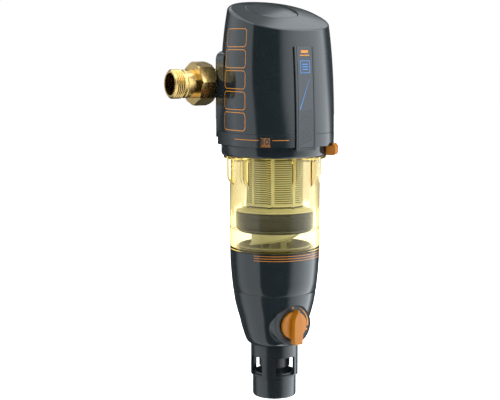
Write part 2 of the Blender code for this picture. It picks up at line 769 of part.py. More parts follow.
def make_base_ring():
    """The ring under the hood, with the window for the month, and its lens."""
    ring = part("base_ring", plate_mesh("base_ring", base_outline(0.0), BASE_BOTTOM, BASE_TOP),
                "anthracite", FILTER)
    low = BASE_BOTTOM - CUT_SPARE
    hollow = plate_mesh("base_hollow", base_outline(BASE_WALL), low, BASE_TOP - BASE_WALL)
    cut(ring, helper("base_hollow", hollow, FILTER))
    hole = rod(HEAD_NECK_RADIUS + GAP, low, BASE_TOP + CUT_SPARE)
    cut(ring, turned_helper("base_hole", LARGE, hole, FILTER))
    middle = (BASE_TOP - BASE_WALL + BASE_BOTTOM) / 2
    outside = superellipse(math.radians(WINDOW_ANGLE), HOOD_HALF_WIDTH, HOOD_FRONT,
                           HOOD_FRONT_SQUARENESS)
    reach = math.hypot(*outside)
    half = WINDOW_SIZE / 2
    near = month_band_radius() + RUNNING
    lens = box_mesh("window_lens", (-half, -reach, middle - half), (half, -near, middle + half))
    lens.transform(facing(WINDOW_ANGLE))
    part("window_lens", lens, "clear_plastic", FILTER)
    wide = half + GAP
    window = box_mesh("base_window", (-wide, -reach - CUT_SPARE, middle - wide),
                      (wide, -reach + BASE_WALL + CUT_SPARE / 2, middle + wide))
    window.transform(facing(WINDOW_ANGLE))
    cut(ring, helper("base_window", window, FILTER))


def month_band_radius():
    """The outer radius of the number band, inside the base ring's flat sides."""
    return HOOD_HALF_WIDTH - BASE_WALL - RUNNING


def make_month_dial():
    """The ring turned by hand to the next month, its number band and its orange tab."""
    inner = HEAD_FLANGE_RADIUS + RUNNING
    edge = MONTH_RADIUS - MONTH_CHAMFER
    profile = [
        (MONTH_RADIUS, MONTH_TOP),
        (MONTH_RADIUS, MONTH_BOTTOM + MONTH_CHAMFER),
        (edge, MONTH_BOTTOM),
        (inner, MONTH_BOTTOM),
        (inner, MONTH_TOP),
    ]
    turned_part("month_ring", "anthracite", LARGE, profile, FILTER)
    band = month_band_radius()
    top = BASE_TOP - BASE_WALL - RUNNING
    low = MONTH_TOP + GAP
    turned_part("number_band", "orange_plastic", LARGE, tube(band - BAND_THICK, band, low, top), FILTER)
    half = TAB_WIDTH / 2
    back = MONTH_RADIUS + GAP
    foot = MONTH_TOP - TAB_DROP
    outline = [
        (-back, MONTH_TOP),
        (-TAB_LIP_INNER, MONTH_TOP),
        (-TAB_LIP_INNER, MONTH_TOP + TAB_LIP),
        (-TAB_REACH + MONTH_CHAMFER, MONTH_TOP + TAB_LIP),
        (-TAB_REACH, MONTH_TOP),
        (-TAB_REACH, foot + MONTH_CHAMFER),
        (-TAB_REACH + MONTH_CHAMFER, foot),
        (-back, foot),
    ]
    tab = plate_mesh("month_tab", outline, -half, half, "X")
    tab.transform(facing(TAB_ANGLE))
    part("month_tab", tab, "orange_plastic", FILTER)


def make_head():
    """The cast head: cup socket, strainer tube, rear flange and the ports between them."""
    cap_bore = CAP_RADIUS + GAP
    profile = [
        (cap_bore, HEAD_TOP),
        (HEAD_RADIUS, HEAD_TOP),
        (HEAD_RADIUS, BASE_TOP),
        (HEAD_NECK_RADIUS - GAP, BASE_TOP),
        (HEAD_NECK_RADIUS, BASE_TOP - GAP),
        (HEAD_NECK_RADIUS, HEAD_SHOULDER),
        (HEAD_FLANGE_RADIUS, HEAD_SHOULDER),
        (HEAD_FLANGE_RADIUS, HEAD_BOTTOM),
        (SOCKET_RADIUS, HEAD_BOTTOM),
        (SOCKET_RADIUS, SOCKET_TOP),
        (HEAD_TUBE_RADIUS, SOCKET_TOP),
        (HEAD_TUBE_RADIUS, -HEAD_TUBE_END),
        (HEAD_TUBE_BORE, -HEAD_TUBE_END),
        (HEAD_TUBE_BORE, -ROD_TOP_DROP),
        (0, -ROD_TOP_DROP),
        (0, HEAD_TOP - CAP_DEPTH),
        (cap_bore, HEAD_TOP - CAP_DEPTH),
    ]
    head = turned_part("head_body", "dark_plastic", LARGE, profile, FILTER)
    wide = 2 * HEAD_RADIUS
    high = FLANGE_RADIUS + RUNNING
    back = box_mesh("head_back", (-wide, FLANGE_FACE, BASE_TOP), (wide, wide, high))
    cut(head, helper("head_back", back, FILTER))
    rear = EAR_DEPTH - HOOD_WALL - 2 * RUNNING
    crown = box_mesh("head_crown", (-wide, rear, 0), (wide, wide, HEAD_TOP + CUT_SPARE))
    cut(head, helper("head_crown", crown, FILTER))
    flange = bar_mesh("head_flange", (0, 0, 0), (0, FLANGE_FACE, 0), FLANGE_RADIUS, LARGE)
    fuse(head, helper("head_flange", flange, FILTER))
    bore = rod(HEAD_BORE, -ROD_TOP_DROP - GAP, HEAD_TOP)
    cut(head, turned_helper("head_bore", SMALL, bore, FILTER))
    port = bar_mesh("head_port", (0, 0, 0), (0, FLANGE_FACE + CUT_SPARE, 0), HEAD_BORE - GAP, SMALL)
    cut(head, helper("head_port", port, FILTER))
    ring = tube(HEAD_BORE + PORT_WALL, RING_PORT_RADIUS, FLANGE_FACE / 4, FLANGE_FACE + CUT_SPARE)
    groove = turned_helper("head_ring_port", MEDIUM, ring, FILTER)
    groove.rotation_euler = (-math.pi / 2, 0, 0)
    cut(head, groove)
    middle = (HEAD_BORE + PORT_WALL + RING_PORT_RADIUS) / 2
    radius = (RING_PORT_RADIUS - HEAD_BORE - PORT_WALL) / 2
    for side in (-1, 1):
        start = (side * middle, FLANGE_FACE / 2, 0)
        end = (side * (HEAD_TUBE_RADIUS + 2 * radius), 0, SOCKET_TOP - radius)
        channel = bar_mesh("head_channel", start, end, radius, 8)
        cut(head, helper("head_channel", channel, FILTER))
    for x, z in bolt_places():
        hole = bar_mesh("head_bolt_hole", (x, FLANGE_FACE / 4, z), (x, 2 * FLANGE_FACE, z),
                        BOLT_RADIUS + GAP, 8)
        cut(head, helper("head_bolt_hole", hole, FILTER))


def make_head_cap():
    """The plug that closes the head's top, with its seal."""
    low = HEAD_TOP - CAP_DEPTH + SEAL_THICK + 2 * GAP
    profile = [
        (0, HEAD_TOP + 3 * GAP + BASE_WALL),
        (CAP_FLANGE_RADIUS, HEAD_TOP + 3 * GAP + BASE_WALL),
        (CAP_FLANGE_RADIUS, HEAD_TOP + GAP),
        (CAP_RADIUS, HEAD_TOP + GAP),
        (CAP_RADIUS, low),
        (0, low),
    ]
    cap = turned_part("head_cap", "dark_plastic", MEDIUM, profile, FILTER)
    corner = CAP_ACROSS_FLATS / 2 / math.cos(math.pi / 6)
    hexagon = bar_mesh("head_cap_hex", (0, 0, HEAD_TOP), (0, 0, HEAD_TOP + BASE_WALL + CAP_HEX_HEIGHT),
                       corner, 6)
    fuse(cap, helper("head_cap_hex", hexagon, FILTER))
    bottom = HEAD_TOP - CAP_DEPTH + GAP
    seal = tube(CAP_RADIUS - 2 * SEAL_THICK, CAP_RADIUS - GAP, bottom, bottom + SEAL_THICK)
    turned_part("head_cap_seal", "rubber", MEDIUM, seal, FILTER)


def bolt_places():
    """The four bolt centres on the flange, seen from the front."""
    return [(x, z) for x, z in arc((0, 0), BOLT_CIRCLE, 45, 315, 3)]


def make_connection():
    """The brass connection piece: the pipe run, its neck and the flange to the head."""
    neck_end = UNION_FACE - UNION_THREAD_LENGTH
    half = [
        (UNION_THREAD_RADIUS, UNION_FACE),
        (UNION_THREAD_RADIUS, neck_end),
        (RUN_RADIUS, neck_end - 3 * GAP),
    ]
    mirrored = [(r, -z) for r, z in reversed(half)]
    profile = [(0, UNION_FACE), *half, *mirrored, (0, -UNION_FACE)]
    tee = turned_part("connection_tee", "brass", MEDIUM, profile)
    tee.rotation_euler = (0, math.pi / 2, 0)
    back = FLANGE_BACK + FLANGE_THICK
    neck = [
        (0, AXIS_OFFSET - FLANGE_BACK),
        (FLANGE_RADIUS, AXIS_OFFSET - FLANGE_BACK),
        (FLANGE_RADIUS, AXIS_OFFSET - back),
        (NECK_RADIUS, AXIS_OFFSET - back),
        (NECK_RADIUS, 0),
        (0, 0),
    ]
    flange = turned_helper("tee_flange", MEDIUM, neck)
    flange.rotation_euler = (math.pi / 2, 0, 0)
    fuse(tee, flange)
    middle = HEAD_BORE + PORT_WALL
    for side in (-1, 1):
        start = (side * PORT_WALL * (side < 0) * 2, 0, 0)
        bore = bar_mesh("tee_bore", start, (side * (UNION_FACE + CUT_SPARE), 0, 0), PIPE_BORE, MEDIUM)
        cut(tee, helper("tee_bore", bore))
    front = -(AXIS_OFFSET - FLANGE_BACK) - CUT_SPARE
    depth = PIPE_BORE + PORT_WALL
    port = bar_mesh("tee_port", (0, -depth + GAP, 0), (0, front, 0), HEAD_BORE - GAP, SMALL)
    cut(tee, helper("tee_port", port))
    way_out = box_mesh("tee_way_out", (GAP, -depth - PORT_WALL, -HEAD_BORE / 2),
                       (HEAD_BORE - 4 * GAP, 0, HEAD_BORE / 2))
    cut(tee, helper("tee_way_out", way_out))
    groove = turned_helper("tee_ring_port", MEDIUM, tube(middle, RING_PORT_RADIUS, depth, -front))
    groove.rotation_euler = (math.pi / 2, 0, 0)
    cut(tee, groove)
    link = box_mesh("tee_link", (-RING_PORT_RADIUS + GAP, -depth - PORT_WALL, -HEAD_BORE / 2),
                    (-middle - GAP, 0, HEAD_BORE / 2))
    cut(tee, helper("tee_link", link))
    for x, z in bolt_places():
        hole = bar_mesh("tee_bolt_hole", (x, front, z), (x, -AXIS_OFFSET + back + GAP, z),
                        BOLT_RADIUS + GAP, 8)
        cut(tee, helper("tee_bolt_hole", hole))


def make_flange_parts():
    """The gasket between the flanges and the four bolts that close them."""
    low = FLANGE_FACE + GAP
    outer = BOLT_CIRCLE - BOLT_RADIUS - 2 * GAP
    ring = tube(RING_PORT_RADIUS + GAP, outer, low, low + GASKET_THICK)
    gasket = turned_part("flange_gasket", "rubber", MEDIUM, ring, FILTER)
    gasket.rotation_euler = (-math.pi / 2, 0, 0)
    under = FLANGE_BACK + FLANGE_THICK + GAP
    tip = FLANGE_FACE / 2
    top = under + BOLT_HEAD_HEIGHT
    socket = BOLT_RADIUS - 2 * GAP
    profile = [
        (0, top - socket),
        (socket, top - socket),
        (socket, top),
        (BOLT_HEAD_RADIUS, top),
        (BOLT_HEAD_RADIUS, under),
        (BOLT_RADIUS, under),
        (BOLT_RADIUS, tip),
        (0, tip),
    ]
    for number, (x, z) in enumerate(bolt_places(), 1):
        bolt = turned_part(f"flange_bolt_{number}", "steel", 8, profile, FILTER)
        bolt.rotation_euler = (-math.pi / 2, 0, 0)
        bolt.location = (x, 0, z)


def make_union(side, name, reach):
    """One union: the tailpiece with its pipe thread, the gasket and the octagonal nut."""
    thread_start = NUT_OUTER_END + COLLAR_SHARE * (reach - NUT_OUTER_END)
    bevel = PIPE_THREAD_RADIUS / 12
    flange = UNION_BORE - 2 * GAP
    profile = [
        (PIPE_BORE, reach),
        (PIPE_THREAD_RADIUS - bevel, reach),
        (PIPE_THREAD_RADIUS, reach - bevel),
        (PIPE_THREAD_RADIUS, thread_start),
        (COLLAR_RADIUS, thread_start - GAP),
        (COLLAR_RADIUS, TAIL_FLANGE_END),
        (flange, TAIL_FLANGE_END),
        (flange, TAIL_FACE),
        (PIPE_BORE, TAIL_FACE),
    ]
    tail = turned_part(f"{name}_tailpiece", "brass", MEDIUM, profile)
    ring = tube(PIPE_BORE + GAP, flange, UNION_FACE + GAP, UNION_FACE + GAP + GASKET_THICK)
    gasket = turned_part(f"{name}_gasket", "rubber", SMALL, ring)
    corner = NUT_ACROSS_FLATS / 2 / math.cos(math.pi / NUT_SIDES)
    prism = bar_mesh(f"{name}_union_nut", (0, 0, NUT_INNER_END), (0, 0, NUT_OUTER_END), corner, NUT_SIDES)
    prism.transform(Matrix.Rotation(math.radians(90 + 22.5 + NUT_TURN * side), 4, "Z"))
    nut = part(f"{name}_union_nut", prism, "brass")
    near = corner - (corner - UNION_BORE) * 0.55
    small = corner - NUT_WEB / 2
    turning = [
        (0, NUT_OUTER_END + GAP),
        (small, NUT_OUTER_END + GAP),
        (corner + GAP, NUT_OUTER_END - NUT_WEB),
        (corner + GAP, NUT_INNER_END + NUT_CHAMFER),
        (near, NUT_INNER_END - GAP),
        (0, NUT_INNER_END - GAP),
    ]
    shape = turned_helper(f"{name}_nut_turning", MEDIUM, turning)
    combine(nut, shape, "INTERSECT")
    web = NUT_OUTER_END - NUT_WEB
    bore = [
        (0, NUT_OUTER_END + CUT_SPARE),
        (COLLAR_RADIUS + GAP, NUT_OUTER_END + CUT_SPARE),
        (COLLAR_RADIUS + GAP, web),
        (UNION_BORE, web),
        (UNION_BORE, NUT_INNER_END - CUT_SPARE),
        (0, NUT_INNER_END - CUT_SPARE),
    ]
    hole = turned_helper(f"{name}_nut_bore", MEDIUM, bore)
    cut(nut, hole)
    for obj in (tail, gasket, nut, shape, hole):
        obj.rotation_euler = (0, side * math.pi / 2, 0)


def make_cup():
    """The clear cup with its rim, its screw collar and the grips round it."""
    outer = CUP_BORE + CUP_WALL
    profile = [
        (CUP_SPIGOT_RADIUS, CUP_SPIGOT_TOP),
        (CUP_SPIGOT_RADIUS, CUP_RIM_TOP),
        (CUP_RIM_RADIUS, CUP_RIM_TOP),
        (CUP_RIM_RADIUS, CUP_RIM_BOTTOM),
        (outer, CUP_RIM_BOTTOM),
        (outer, CUP_BODY_BOTTOM),
        (CUP_SLEEVE_RADIUS, CUP_BODY_BOTTOM),
        (CUP_SLEEVE_RADIUS, SHROUD_BOTTOM),
        (CUP_SLEEVE_BORE, SHROUD_BOTTOM),
        (CUP_SLEEVE_BORE, CUP_SHOULDER),
        (CUP_BORE, CUP_SHOULDER),
        (CUP_BORE, CUP_SPIGOT_TOP),
    ]
    cup = turned_part("filter_cup", "amber_clear", LARGE, profile, FILTER)
    root = outer - CUP_WALL / 3
    top = CUP_RIM_TOP - CUP_RIM_HEIGHT / 2
    full = CUP_RIM_BOTTOM - GRIP_LENGTH
    slope = (GRIP_RADIUS - outer) / GRIP_RUNOUT
    foot = full - (GRIP_RADIUS - root) / slope
    outline = [(-root, top), (-GRIP_RADIUS, top), (-GRIP_RADIUS, full), (-root, foot)]
    half = GRIP_WIDTH / 2
    grip = plate_mesh("cup_grip", outline, -half, half, "X")
    grips = copies("cup_grips", grip, GRIP_COUNT, GRIP_ANGLE)
    fuse(cup, helper("cup_grips", grips, FILTER))
    low = CUP_SPIGOT_TOP + GAP
    seal = tube(CUP_BORE + RUNNING, CUP_SPIGOT_RADIUS - RUNNING, low, low + SEAL_THICK)
    turned_part("cup_seal", "rubber", LARGE, seal, FILTER)


def make_strainer():
    """The strainer: a cage of fine rings on upright ribs, with the mesh inside it."""
    ring_inner = CAGE_RADIUS - CAGE_RING_DEPTH
    sleeve = (HEAD_TUBE_RADIUS + GAP) / math.cos(math.pi / MEDIUM)
    window_top = CAGE_TOP - CAGE_COLLAR_HEIGHT
    window_bottom = CAGE_BOTTOM + CAGE_FOOT_HEIGHT
    collar = tube(sleeve, CAGE_RADIUS, window_top, CAGE_TOP)
    cage = turned_part("strainer_cage", "natural_plastic", MEDIUM, collar, FILTER)
    foot = tube(sleeve, CAGE_RADIUS, CAGE_BOTTOM, window_bottom)
    rings = [turned_helper("cage_foot", MEDIUM, foot, FILTER)]
    count = int((window_top - window_bottom) / CAGE_PITCH)
    half = CAGE_RING_HEIGHT / 2
    rib_inner = ring_inner - GAP
    sections = []
    for i in range(1, count + 1):
        z = window_top - i * (window_top - window_bottom) / (count + 1)
        sections.append([(CAGE_RADIUS, z + half), (CAGE_RADIUS, z - half), (ring_inner, z)])
    rings.append(ring_stack("cage_rings", sections, 2 * CAGE_RIBS, FILTER))
    wide = CAGE_RIB_WIDTH / 2
    rib = box_mesh("cage_rib", (-wide, -CAGE_RADIUS - GAP / 2, CAGE_BOTTOM + GAP),
                   (wide, -rib_inner, CAGE_TOP - GAP))
    ribs = helper("cage_ribs", copies("cage_ribs", rib, CAGE_RIBS, CAGE_RIB_ANGLE), FILTER)
    fuse(cage, ribs, *rings)
    outer = rib_inner * math.cos(math.pi / MEDIUM) - GAP
    low = window_bottom + GAP
    mesh = tube(outer - MESH_THICK, outer, low, window_top - GAP)
    turned_part("strainer_mesh", "mesh_steel", MEDIUM, mesh, FILTER)
    seal = tube(sleeve, CAGE_RADIUS + GAP, SEAL_RING_TOP - STRAINER_SEAL_HEIGHT, SEAL_RING_TOP)
    turned_part("strainer_seal", "rubber", MEDIUM, seal, FILTER)


def ring_stack(name, profiles, steps, parent):
    """Several turned rings in one helper."""
    mesh = bpy.data.meshes.new(name)
    points = []
    edges = []
    for profile in profiles:
        first = len(points)
        points += [(r, 0, z) for r, z in profile]
        count = len(profile)
        edges += [(first + i, first + (i + 1) % count) for i in range(count)]
    mesh.from_pydata(points, edges, [])
    obj = helper(name, mesh, parent)
    screw = obj.modifiers.new("Turn", "SCREW")
    screw.steps = steps
    screw.render_steps = steps
    screw.use_merge_vertices = True
    screw.merge_threshold = 0.00001
    return obj


def make_piston():
    """The collar under the strainer, the backwash piston with its seal, and the ramped drum."""
    hub = ROD_RADIUS + GAP
    rim_top = COLLAR_BOTTOM + COLLAR_RIM_HEIGHT
    profile = [
        (CAGE_RADIUS + GAP, COLLAR_TOP),
        (COLLAR_PLATE_RADIUS, rim_top + RUNNING),
        (COLLAR_PLATE_RADIUS, rim_top),
        (COLLAR_RIM_RADIUS, rim_top),
        (COLLAR_RIM_RADIUS, COLLAR_BOTTOM),
        (hub, COLLAR_BOTTOM),
        (hub, COLLAR_TOP),
    ]
    turned_part("strainer_collar", "natural_plastic", MEDIUM, profile, FILTER)
    outer = CUP_BORE - GAP
    groove = outer - PISTON_SEAL_HEIGHT
    groove_top = PISTON_TOP - PISTON_SEAL_HEIGHT
    groove_low = groove_top - PISTON_SEAL_HEIGHT - 2 * GAP
    bore = outer - PISTON_WALL - PISTON_SEAL_HEIGHT / 2
    profile = [
        (outer, PISTON_TOP),
        (outer, groove_top),
        (groove, groove_top),
        (groove, groove_low),
        (outer, groove_low),
        (outer, PISTON_TOP - PISTON_SKIRT),
        (PISTON_FOOT_RADIUS, PISTON_BOTTOM),
        (PISTON_HOLE, PISTON_BOTTOM),
        (PISTON_HOLE, PISTON_BOTTOM + PISTON_WEB),
        (bore, PISTON_BOTTOM + PISTON_WEB),
        (bore, PISTON_TOP),
    ]
    turned_part("backwash_piston", "dark_plastic", LARGE, profile, FILTER)
    seal = tube(groove + GAP / 2, outer + GAP / 2, groove_low + GAP, groove_top - GAP)
    turned_part("piston_seal", "rubber", LARGE, seal, FILTER)
    inner = DRUM_RADIUS - DRUM_WALL
    lip = DRUM_RADIUS + DRUM_LIP
    sections = []
    for i in range(LARGE):
        angle = DRUM_HIGH_ANGLE - 360 * i / LARGE
        away = abs(1 - 2 * i / LARGE)
        edge = DRUM_TOP - DRUM_SHORT - DRUM_RAMP * (1 - away)
        section = [
            (inner, DRUM_TOP),
            (DRUM_RADIUS, DRUM_TOP),
            (DRUM_RADIUS, edge + DRUM_LIP_HEIGHT),
            (lip, edge + DRUM_LIP_HEIGHT / 2),
            (lip, edge),
            (inner, edge),
        ]
        sections.append([polar(radius, angle, z) for radius, z in section])
    part("guide_drum", sweep_mesh("guide_drum", sections), "natural_plastic", FILTER)


def make_rod_and_spring():
    """The guide rod with its spider and spring seat, and the spring that lifts the insert."""
    seat_low = ROD_SEAT_TOP - ROD_SEAT_HEIGHT
    profile = [
        (0, -ROD_TOP_DROP - GAP),
        (ROD_RADIUS, -ROD_TOP_DROP - GAP),
        (ROD_RADIUS, ROD_SEAT_TOP),
        (ROD_SEAT_RADIUS, ROD_SEAT_TOP),
        (ROD_SEAT_RADIUS, seat_low),
        (0, seat_low),
    ]
    rod_part = turned_part("guide_rod", "steel", SMALL, profile, FILTER)
    outer = HEAD_TUBE_BORE - GAP
    top = -ROD_SPIDER_DROP
    low = top - ROD_SPIDER_HEIGHT
    rim = turned_helper("rod_rim", MEDIUM, tube(outer - ROD_SPIDER_HEIGHT, outer, low, top), FILTER)
    half = ROD_RADIUS * 0.4
    arm = box_mesh("rod_arm", (-half, -outer + 4 * GAP, low + GAP), (half, 0, top - GAP))
    fuse(rod_part, rim)
    for number in range(3):
        single = helper("rod_arm", arm.copy(), FILTER)
        single.rotation_euler = (0, 0, math.radians(120 * number))
        fuse(rod_part, single)
    spring_mesh()


def spring_mesh():
    """The return spring, a coil of wire between its seat and the collar."""
    curve = bpy.data.curves.new("return_spring", "CURVE")
    curve.dimensions = "3D"
    curve.bevel_depth = SPRING_WIRE
    curve.bevel_resolution = 0
    curve.use_fill_caps = True
    per_turn = 10
    count = SPRING_TURNS * per_turn + 1
    spline = curve.splines.new("POLY")
    spline.points.add(count - 1)
    rise = SPRING_LENGTH - 2 * SPRING_WIRE
    for i, point in enumerate(spline.points):
        angle = 2 * math.pi * i / per_turn
        x = SPRING_RADIUS * math.cos(angle)
        y = SPRING_RADIUS * math.sin(angle)
        z = SPRING_BOTTOM + SPRING_WIRE + rise * i / (count - 1)
        point.co = (x, y, z, 1)
    spring = bpy.data.objects.new("return_spring", curve)
    own = finish("steel").copy()
    own.name = "return_spring"
    curve.materials.append(own)
    spring.parent = FILTER
    PARTS.objects.link(spring)


def make_rotor():
    """The rotor that sprays the strainer from inside while it spins on the rod."""
    top = CAGE_TOP - ROTOR_BELOW_TOP
    low = CAGE_BOTTOM + ROTOR_ABOVE_FOOT
    hub = ROD_RADIUS + ROTOR_HUB_WALL
    rotor = turned_part("spray_rotor", "dark_plastic", SMALL, tube(ROD_RADIUS + GAP, hub, low, top), FILTER)
    half = ROTOR_HUB_WALL
    inner = ROTOR_REACH - ROTOR_RING_HEIGHT
    for number in range(ROTOR_BARS):
        angle = math.radians(360 * number / ROTOR_BARS)
        for z in (low, top - ROTOR_RING_HEIGHT):
            arm = box_mesh("rotor_arm", (-half, -inner - GAP, z), (half, -hub + GAP, z + ROTOR_RING_HEIGHT))
            single = helper("rotor_arm", arm, FILTER)
            single.rotation_euler = (0, 0, angle)
            fuse(rotor, single)
        bar = box_mesh("rotor_bar", (-half - GAP, -ROTOR_REACH, low - GAP), (half + GAP, -inner, top + GAP))
        single = helper("rotor_bar", bar, FILTER)
        single.rotation_euler = (0, 0, angle)
        fuse(rotor, single)


def make_sump():
    """The funnel at the cup's foot and the cage over its outlet."""
    rim_low = FUNNEL_TOP - FUNNEL_RIM_HEIGHT
    cone_low = rim_low - FUNNEL_DEPTH
    ledge = FUNNEL_MOUTH - FUNNEL_WALL
    bottom = cone_low - FUNNEL_LEDGE
    sleeve = CUP_SLEEVE_BORE - GAP
    profile = [
        (FUNNEL_RADIUS, FUNNEL_TOP),
        (FUNNEL_RADIUS, rim_low),
        (sleeve, rim_low - GAP),
        (sleeve, rim_low - FUNNEL_WALL),
        (FUNNEL_MOUTH + FUNNEL_WALL, cone_low),
        (FUNNEL_MOUTH + FUNNEL_WALL, bottom),
        (ledge - GAP, bottom),
        (ledge - GAP, bottom + FUNNEL_WALL),
        (FUNNEL_MOUTH, bottom + FUNNEL_WALL),
        (FUNNEL_MOUTH, cone_low),
    ]
    turned_part("sump_funnel", "natural_plastic", MEDIUM, profile, FILTER)
    seat = bottom + FUNNEL_WALL + GAP
    inner = OUTLET_CAGE_RADIUS - OUTLET_POST_DEPTH
    base = tube(inner, FUNNEL_MOUTH - GAP, seat, seat + OUTLET_RING_HEIGHT)
    cage = turned_part("outlet_cage", "natural_plastic", MEDIUM, base, FILTER)
    top = seat + OUTLET_CAGE_HEIGHT
    crown = tube(inner, OUTLET_CAGE_RADIUS, top - OUTLET_RING_HEIGHT, top)
    fuse(cage, turned_helper("outlet_crown", MEDIUM, crown, FILTER))
    half = OUTLET_POST_WIDTH / 2
    post = box_mesh("outlet_post", (-half, -OUTLET_CAGE_RADIUS, seat + GAP),
                    (half, -inner - GAP, top - GAP))
    posts = copies("outlet_posts", post, OUTLET_POSTS)
    fuse(cage, helper("outlet_posts", posts, FILTER))


def make_shroud():
    """The dark shroud round the cup's foot."""
    bore = CUP_SLEEVE_RADIUS + GAP
    top_radius = bore + SHROUD_TOP_WALL
    bottom_radius = bore + SHROUD_BOTTOM_WALL
    edge = SHROUD_BOTTOM_WALL / 3
    profile = [
        (top_radius - edge, SHROUD_TOP),
        (top_radius, SHROUD_TOP - edge),
        (bottom_radius, SHROUD_BOTTOM + edge),
        (bottom_radius - edge, SHROUD_BOTTOM),
        (bore, SHROUD_BOTTOM),
        (bore, SHROUD_TOP),
    ]
    turned_part("upper_shroud", "anthracite", LARGE, profile, FILTER)


def housing_taper():
    """The outer side of the valve housing, from its top edge down to its foot."""
    bulge = [0.0, 0.03, 0.22, 0.5, 0.7, 0.93, 1.0]
    shrink = [0.0, 0.02, 0.11, 0.375, 0.527, 0.766, 0.9]
    span = HOUSING_RADIUS - HOUSING_FOOT_RADIUS
    return [(HOUSING_RADIUS - span * s, HOUSING_TOP - HOUSING_LENGTH * b) for b, s in zip(bulge, shrink)]


def make_housing():
    """The valve housing: its spigot in the cup, its funnel, the ball's bore and the boss."""
    spigot = CUP_SLEEVE_BORE - GAP
    spigot_top = HOUSING_TOP + HOUSING_SPIGOT_LENGTH
    bore = SEAT_RADIUS + GAP
    bore_top = VALVE_Z + SEAT_FAR + GAP
    throat = BALL_BORE + GAP
    profile = [
        (spigot - HOUSING_WALL, spigot_top),
        (spigot, spigot_top),
        (spigot, HOUSING_TOP),
        *housing_taper(),
        (bore, HOUSING_BOTTOM),
        (bore, bore_top),
        (throat, bore_top),
        (throat, bore_top + HOUSING_WALL),
        (spigot - HOUSING_WALL, HOUSING_TOP + HOUSING_WALL),
    ]
    housing = turned_part("valve_housing", "anthracite", LARGE, profile, FILTER)
    boss = [
        (0, BOSS_FACE),
        (BOSS_RADIUS - FUNNEL_WALL / 2, BOSS_FACE),
        (BOSS_RADIUS, BOSS_FACE - FUNNEL_WALL / 2),
        (BOSS_RADIUS, SEAT_RADIUS + HOUSING_WALL),
        (0, SEAT_RADIUS + HOUSING_WALL),
    ]
    fuse(housing, along_valve(turned_helper("housing_boss", LARGE, boss, VALVE)))
    recess = BOSS_FACE - DIAL_RING_THICK - GAP
    collar = STEM_COLLAR_RADIUS + GAP
    bores = [
        (0, BOSS_FACE + CUT_SPARE),
        (BOSS_RADIUS - HOUSING_WALL / 4, BOSS_FACE + CUT_SPARE),
        (BOSS_RADIUS - HOUSING_WALL / 4, recess),
        (collar, recess),
        (collar, BALL_RADIUS - TANG_DEPTH),
        (0, BALL_RADIUS - TANG_DEPTH),
    ]
    cut(housing, along_valve(turned_helper("housing_bore", MEDIUM, bores, VALVE)))


def along_valve(obj):
    """Lays a turned piece along the valve's axis, its top towards the front."""
    obj.rotation_euler = (math.pi / 2, 0, 0)
    return obj


def make_valve():
    """The ball, its two seats, the stem with its seal and the dial ring."""
    bm = bmesh.new()
    bmesh.ops.create_uvsphere(bm, u_segments=BALL_FACETS, v_segments=BALL_FACETS // 2 + 1,
                              radius=BALL_RADIUS)
    ball = part("valve_ball", mesh_of(bm, "valve_ball"), "steel", VALVE)
    reach = BALL_RADIUS + CUT_SPARE
    bore = bar_mesh("ball_bore", (-reach, 0, 0), (reach, 0, 0), BALL_BORE, SMALL)
    cut(ball, helper("ball_bore", bore, VALVE))
    tang = TANG_WIDTH / 2 + GAP
    high = TANG_HEIGHT / 2 + GAP
    slot = box_mesh("ball_slot", (-high, -reach, -tang), (high, -BALL_RADIUS + TANG_DEPTH, tang))
    cut(ball, helper("ball_slot", slot, VALVE))
    clear = (BALL_RADIUS + GAP) * math.sqrt(2)
    throat = BALL_BORE + GAP
    for name, side in (("upper_ball_seat", 1), ("lower_ball_seat", -1)):
        profile = [
            (SEAT_RADIUS, SEAT_FAR),
            (SEAT_RADIUS, SEAT_NEAR),
            (clear - SEAT_NEAR, SEAT_NEAR),
            (throat, clear - throat),
            (throat, SEAT_FAR),
        ]
        if side < 0:
            profile = [(r, -z) for r, z in reversed(profile)]
        turned_part(name, "seat_plastic", MEDIUM, profile, VALVE)
    under = BALL_RADIUS + GAP
    groove = STEM_COLLAR_RADIUS - STEM_SEAL_WIDTH
    seal_low = under + 2 * STEM_SEAL_WIDTH
    seal_top = seal_low + STEM_SEAL_WIDTH + 2 * GAP
    collar_top = seal_top + STEM_SEAL_WIDTH
    end = BOSS_FACE + KNOB_DISC_THICK - GAP
    profile = [
        (SCREW_RADIUS + GAP, end),
        (STEM_RADIUS, end),
        (STEM_RADIUS, collar_top),
        (STEM_COLLAR_RADIUS, collar_top),
        (STEM_COLLAR_RADIUS, seal_top),
        (groove, seal_top),
        (groove, seal_low),
        (STEM_COLLAR_RADIUS, seal_low),
        (STEM_COLLAR_RADIUS, under),
        (0, under),
        (0, BOSS_FACE),
        (SCREW_RADIUS + GAP, BOSS_FACE),
    ]
    stem = solid_with_blind_hole("valve_stem", profile)
    tang = box_mesh("stem_tang", (-TANG_HEIGHT / 2, -under - GAP, -TANG_WIDTH / 2),
                    (TANG_HEIGHT / 2, -BALL_RADIUS + TANG_DEPTH - GAP, TANG_WIDTH / 2))
    fuse(stem, helper_in_stem("stem_tang", tang))
    seal = tube(groove + GAP / 2, STEM_COLLAR_RADIUS + GAP / 2, seal_low + GAP, seal_top - GAP)
    along_valve(turned_part("stem_seal", "rubber", SMALL, seal, VALVE))
    low = BOSS_FACE - DIAL_RING_THICK
    outer = BOSS_RADIUS - HOUSING_WALL / 4 - GAP
    ring = tube(outer - DIAL_RING_WIDTH, outer, low, BOSS_FACE)
    along_valve(turned_part("dial_ring", "anthracite", MEDIUM, ring, VALVE))


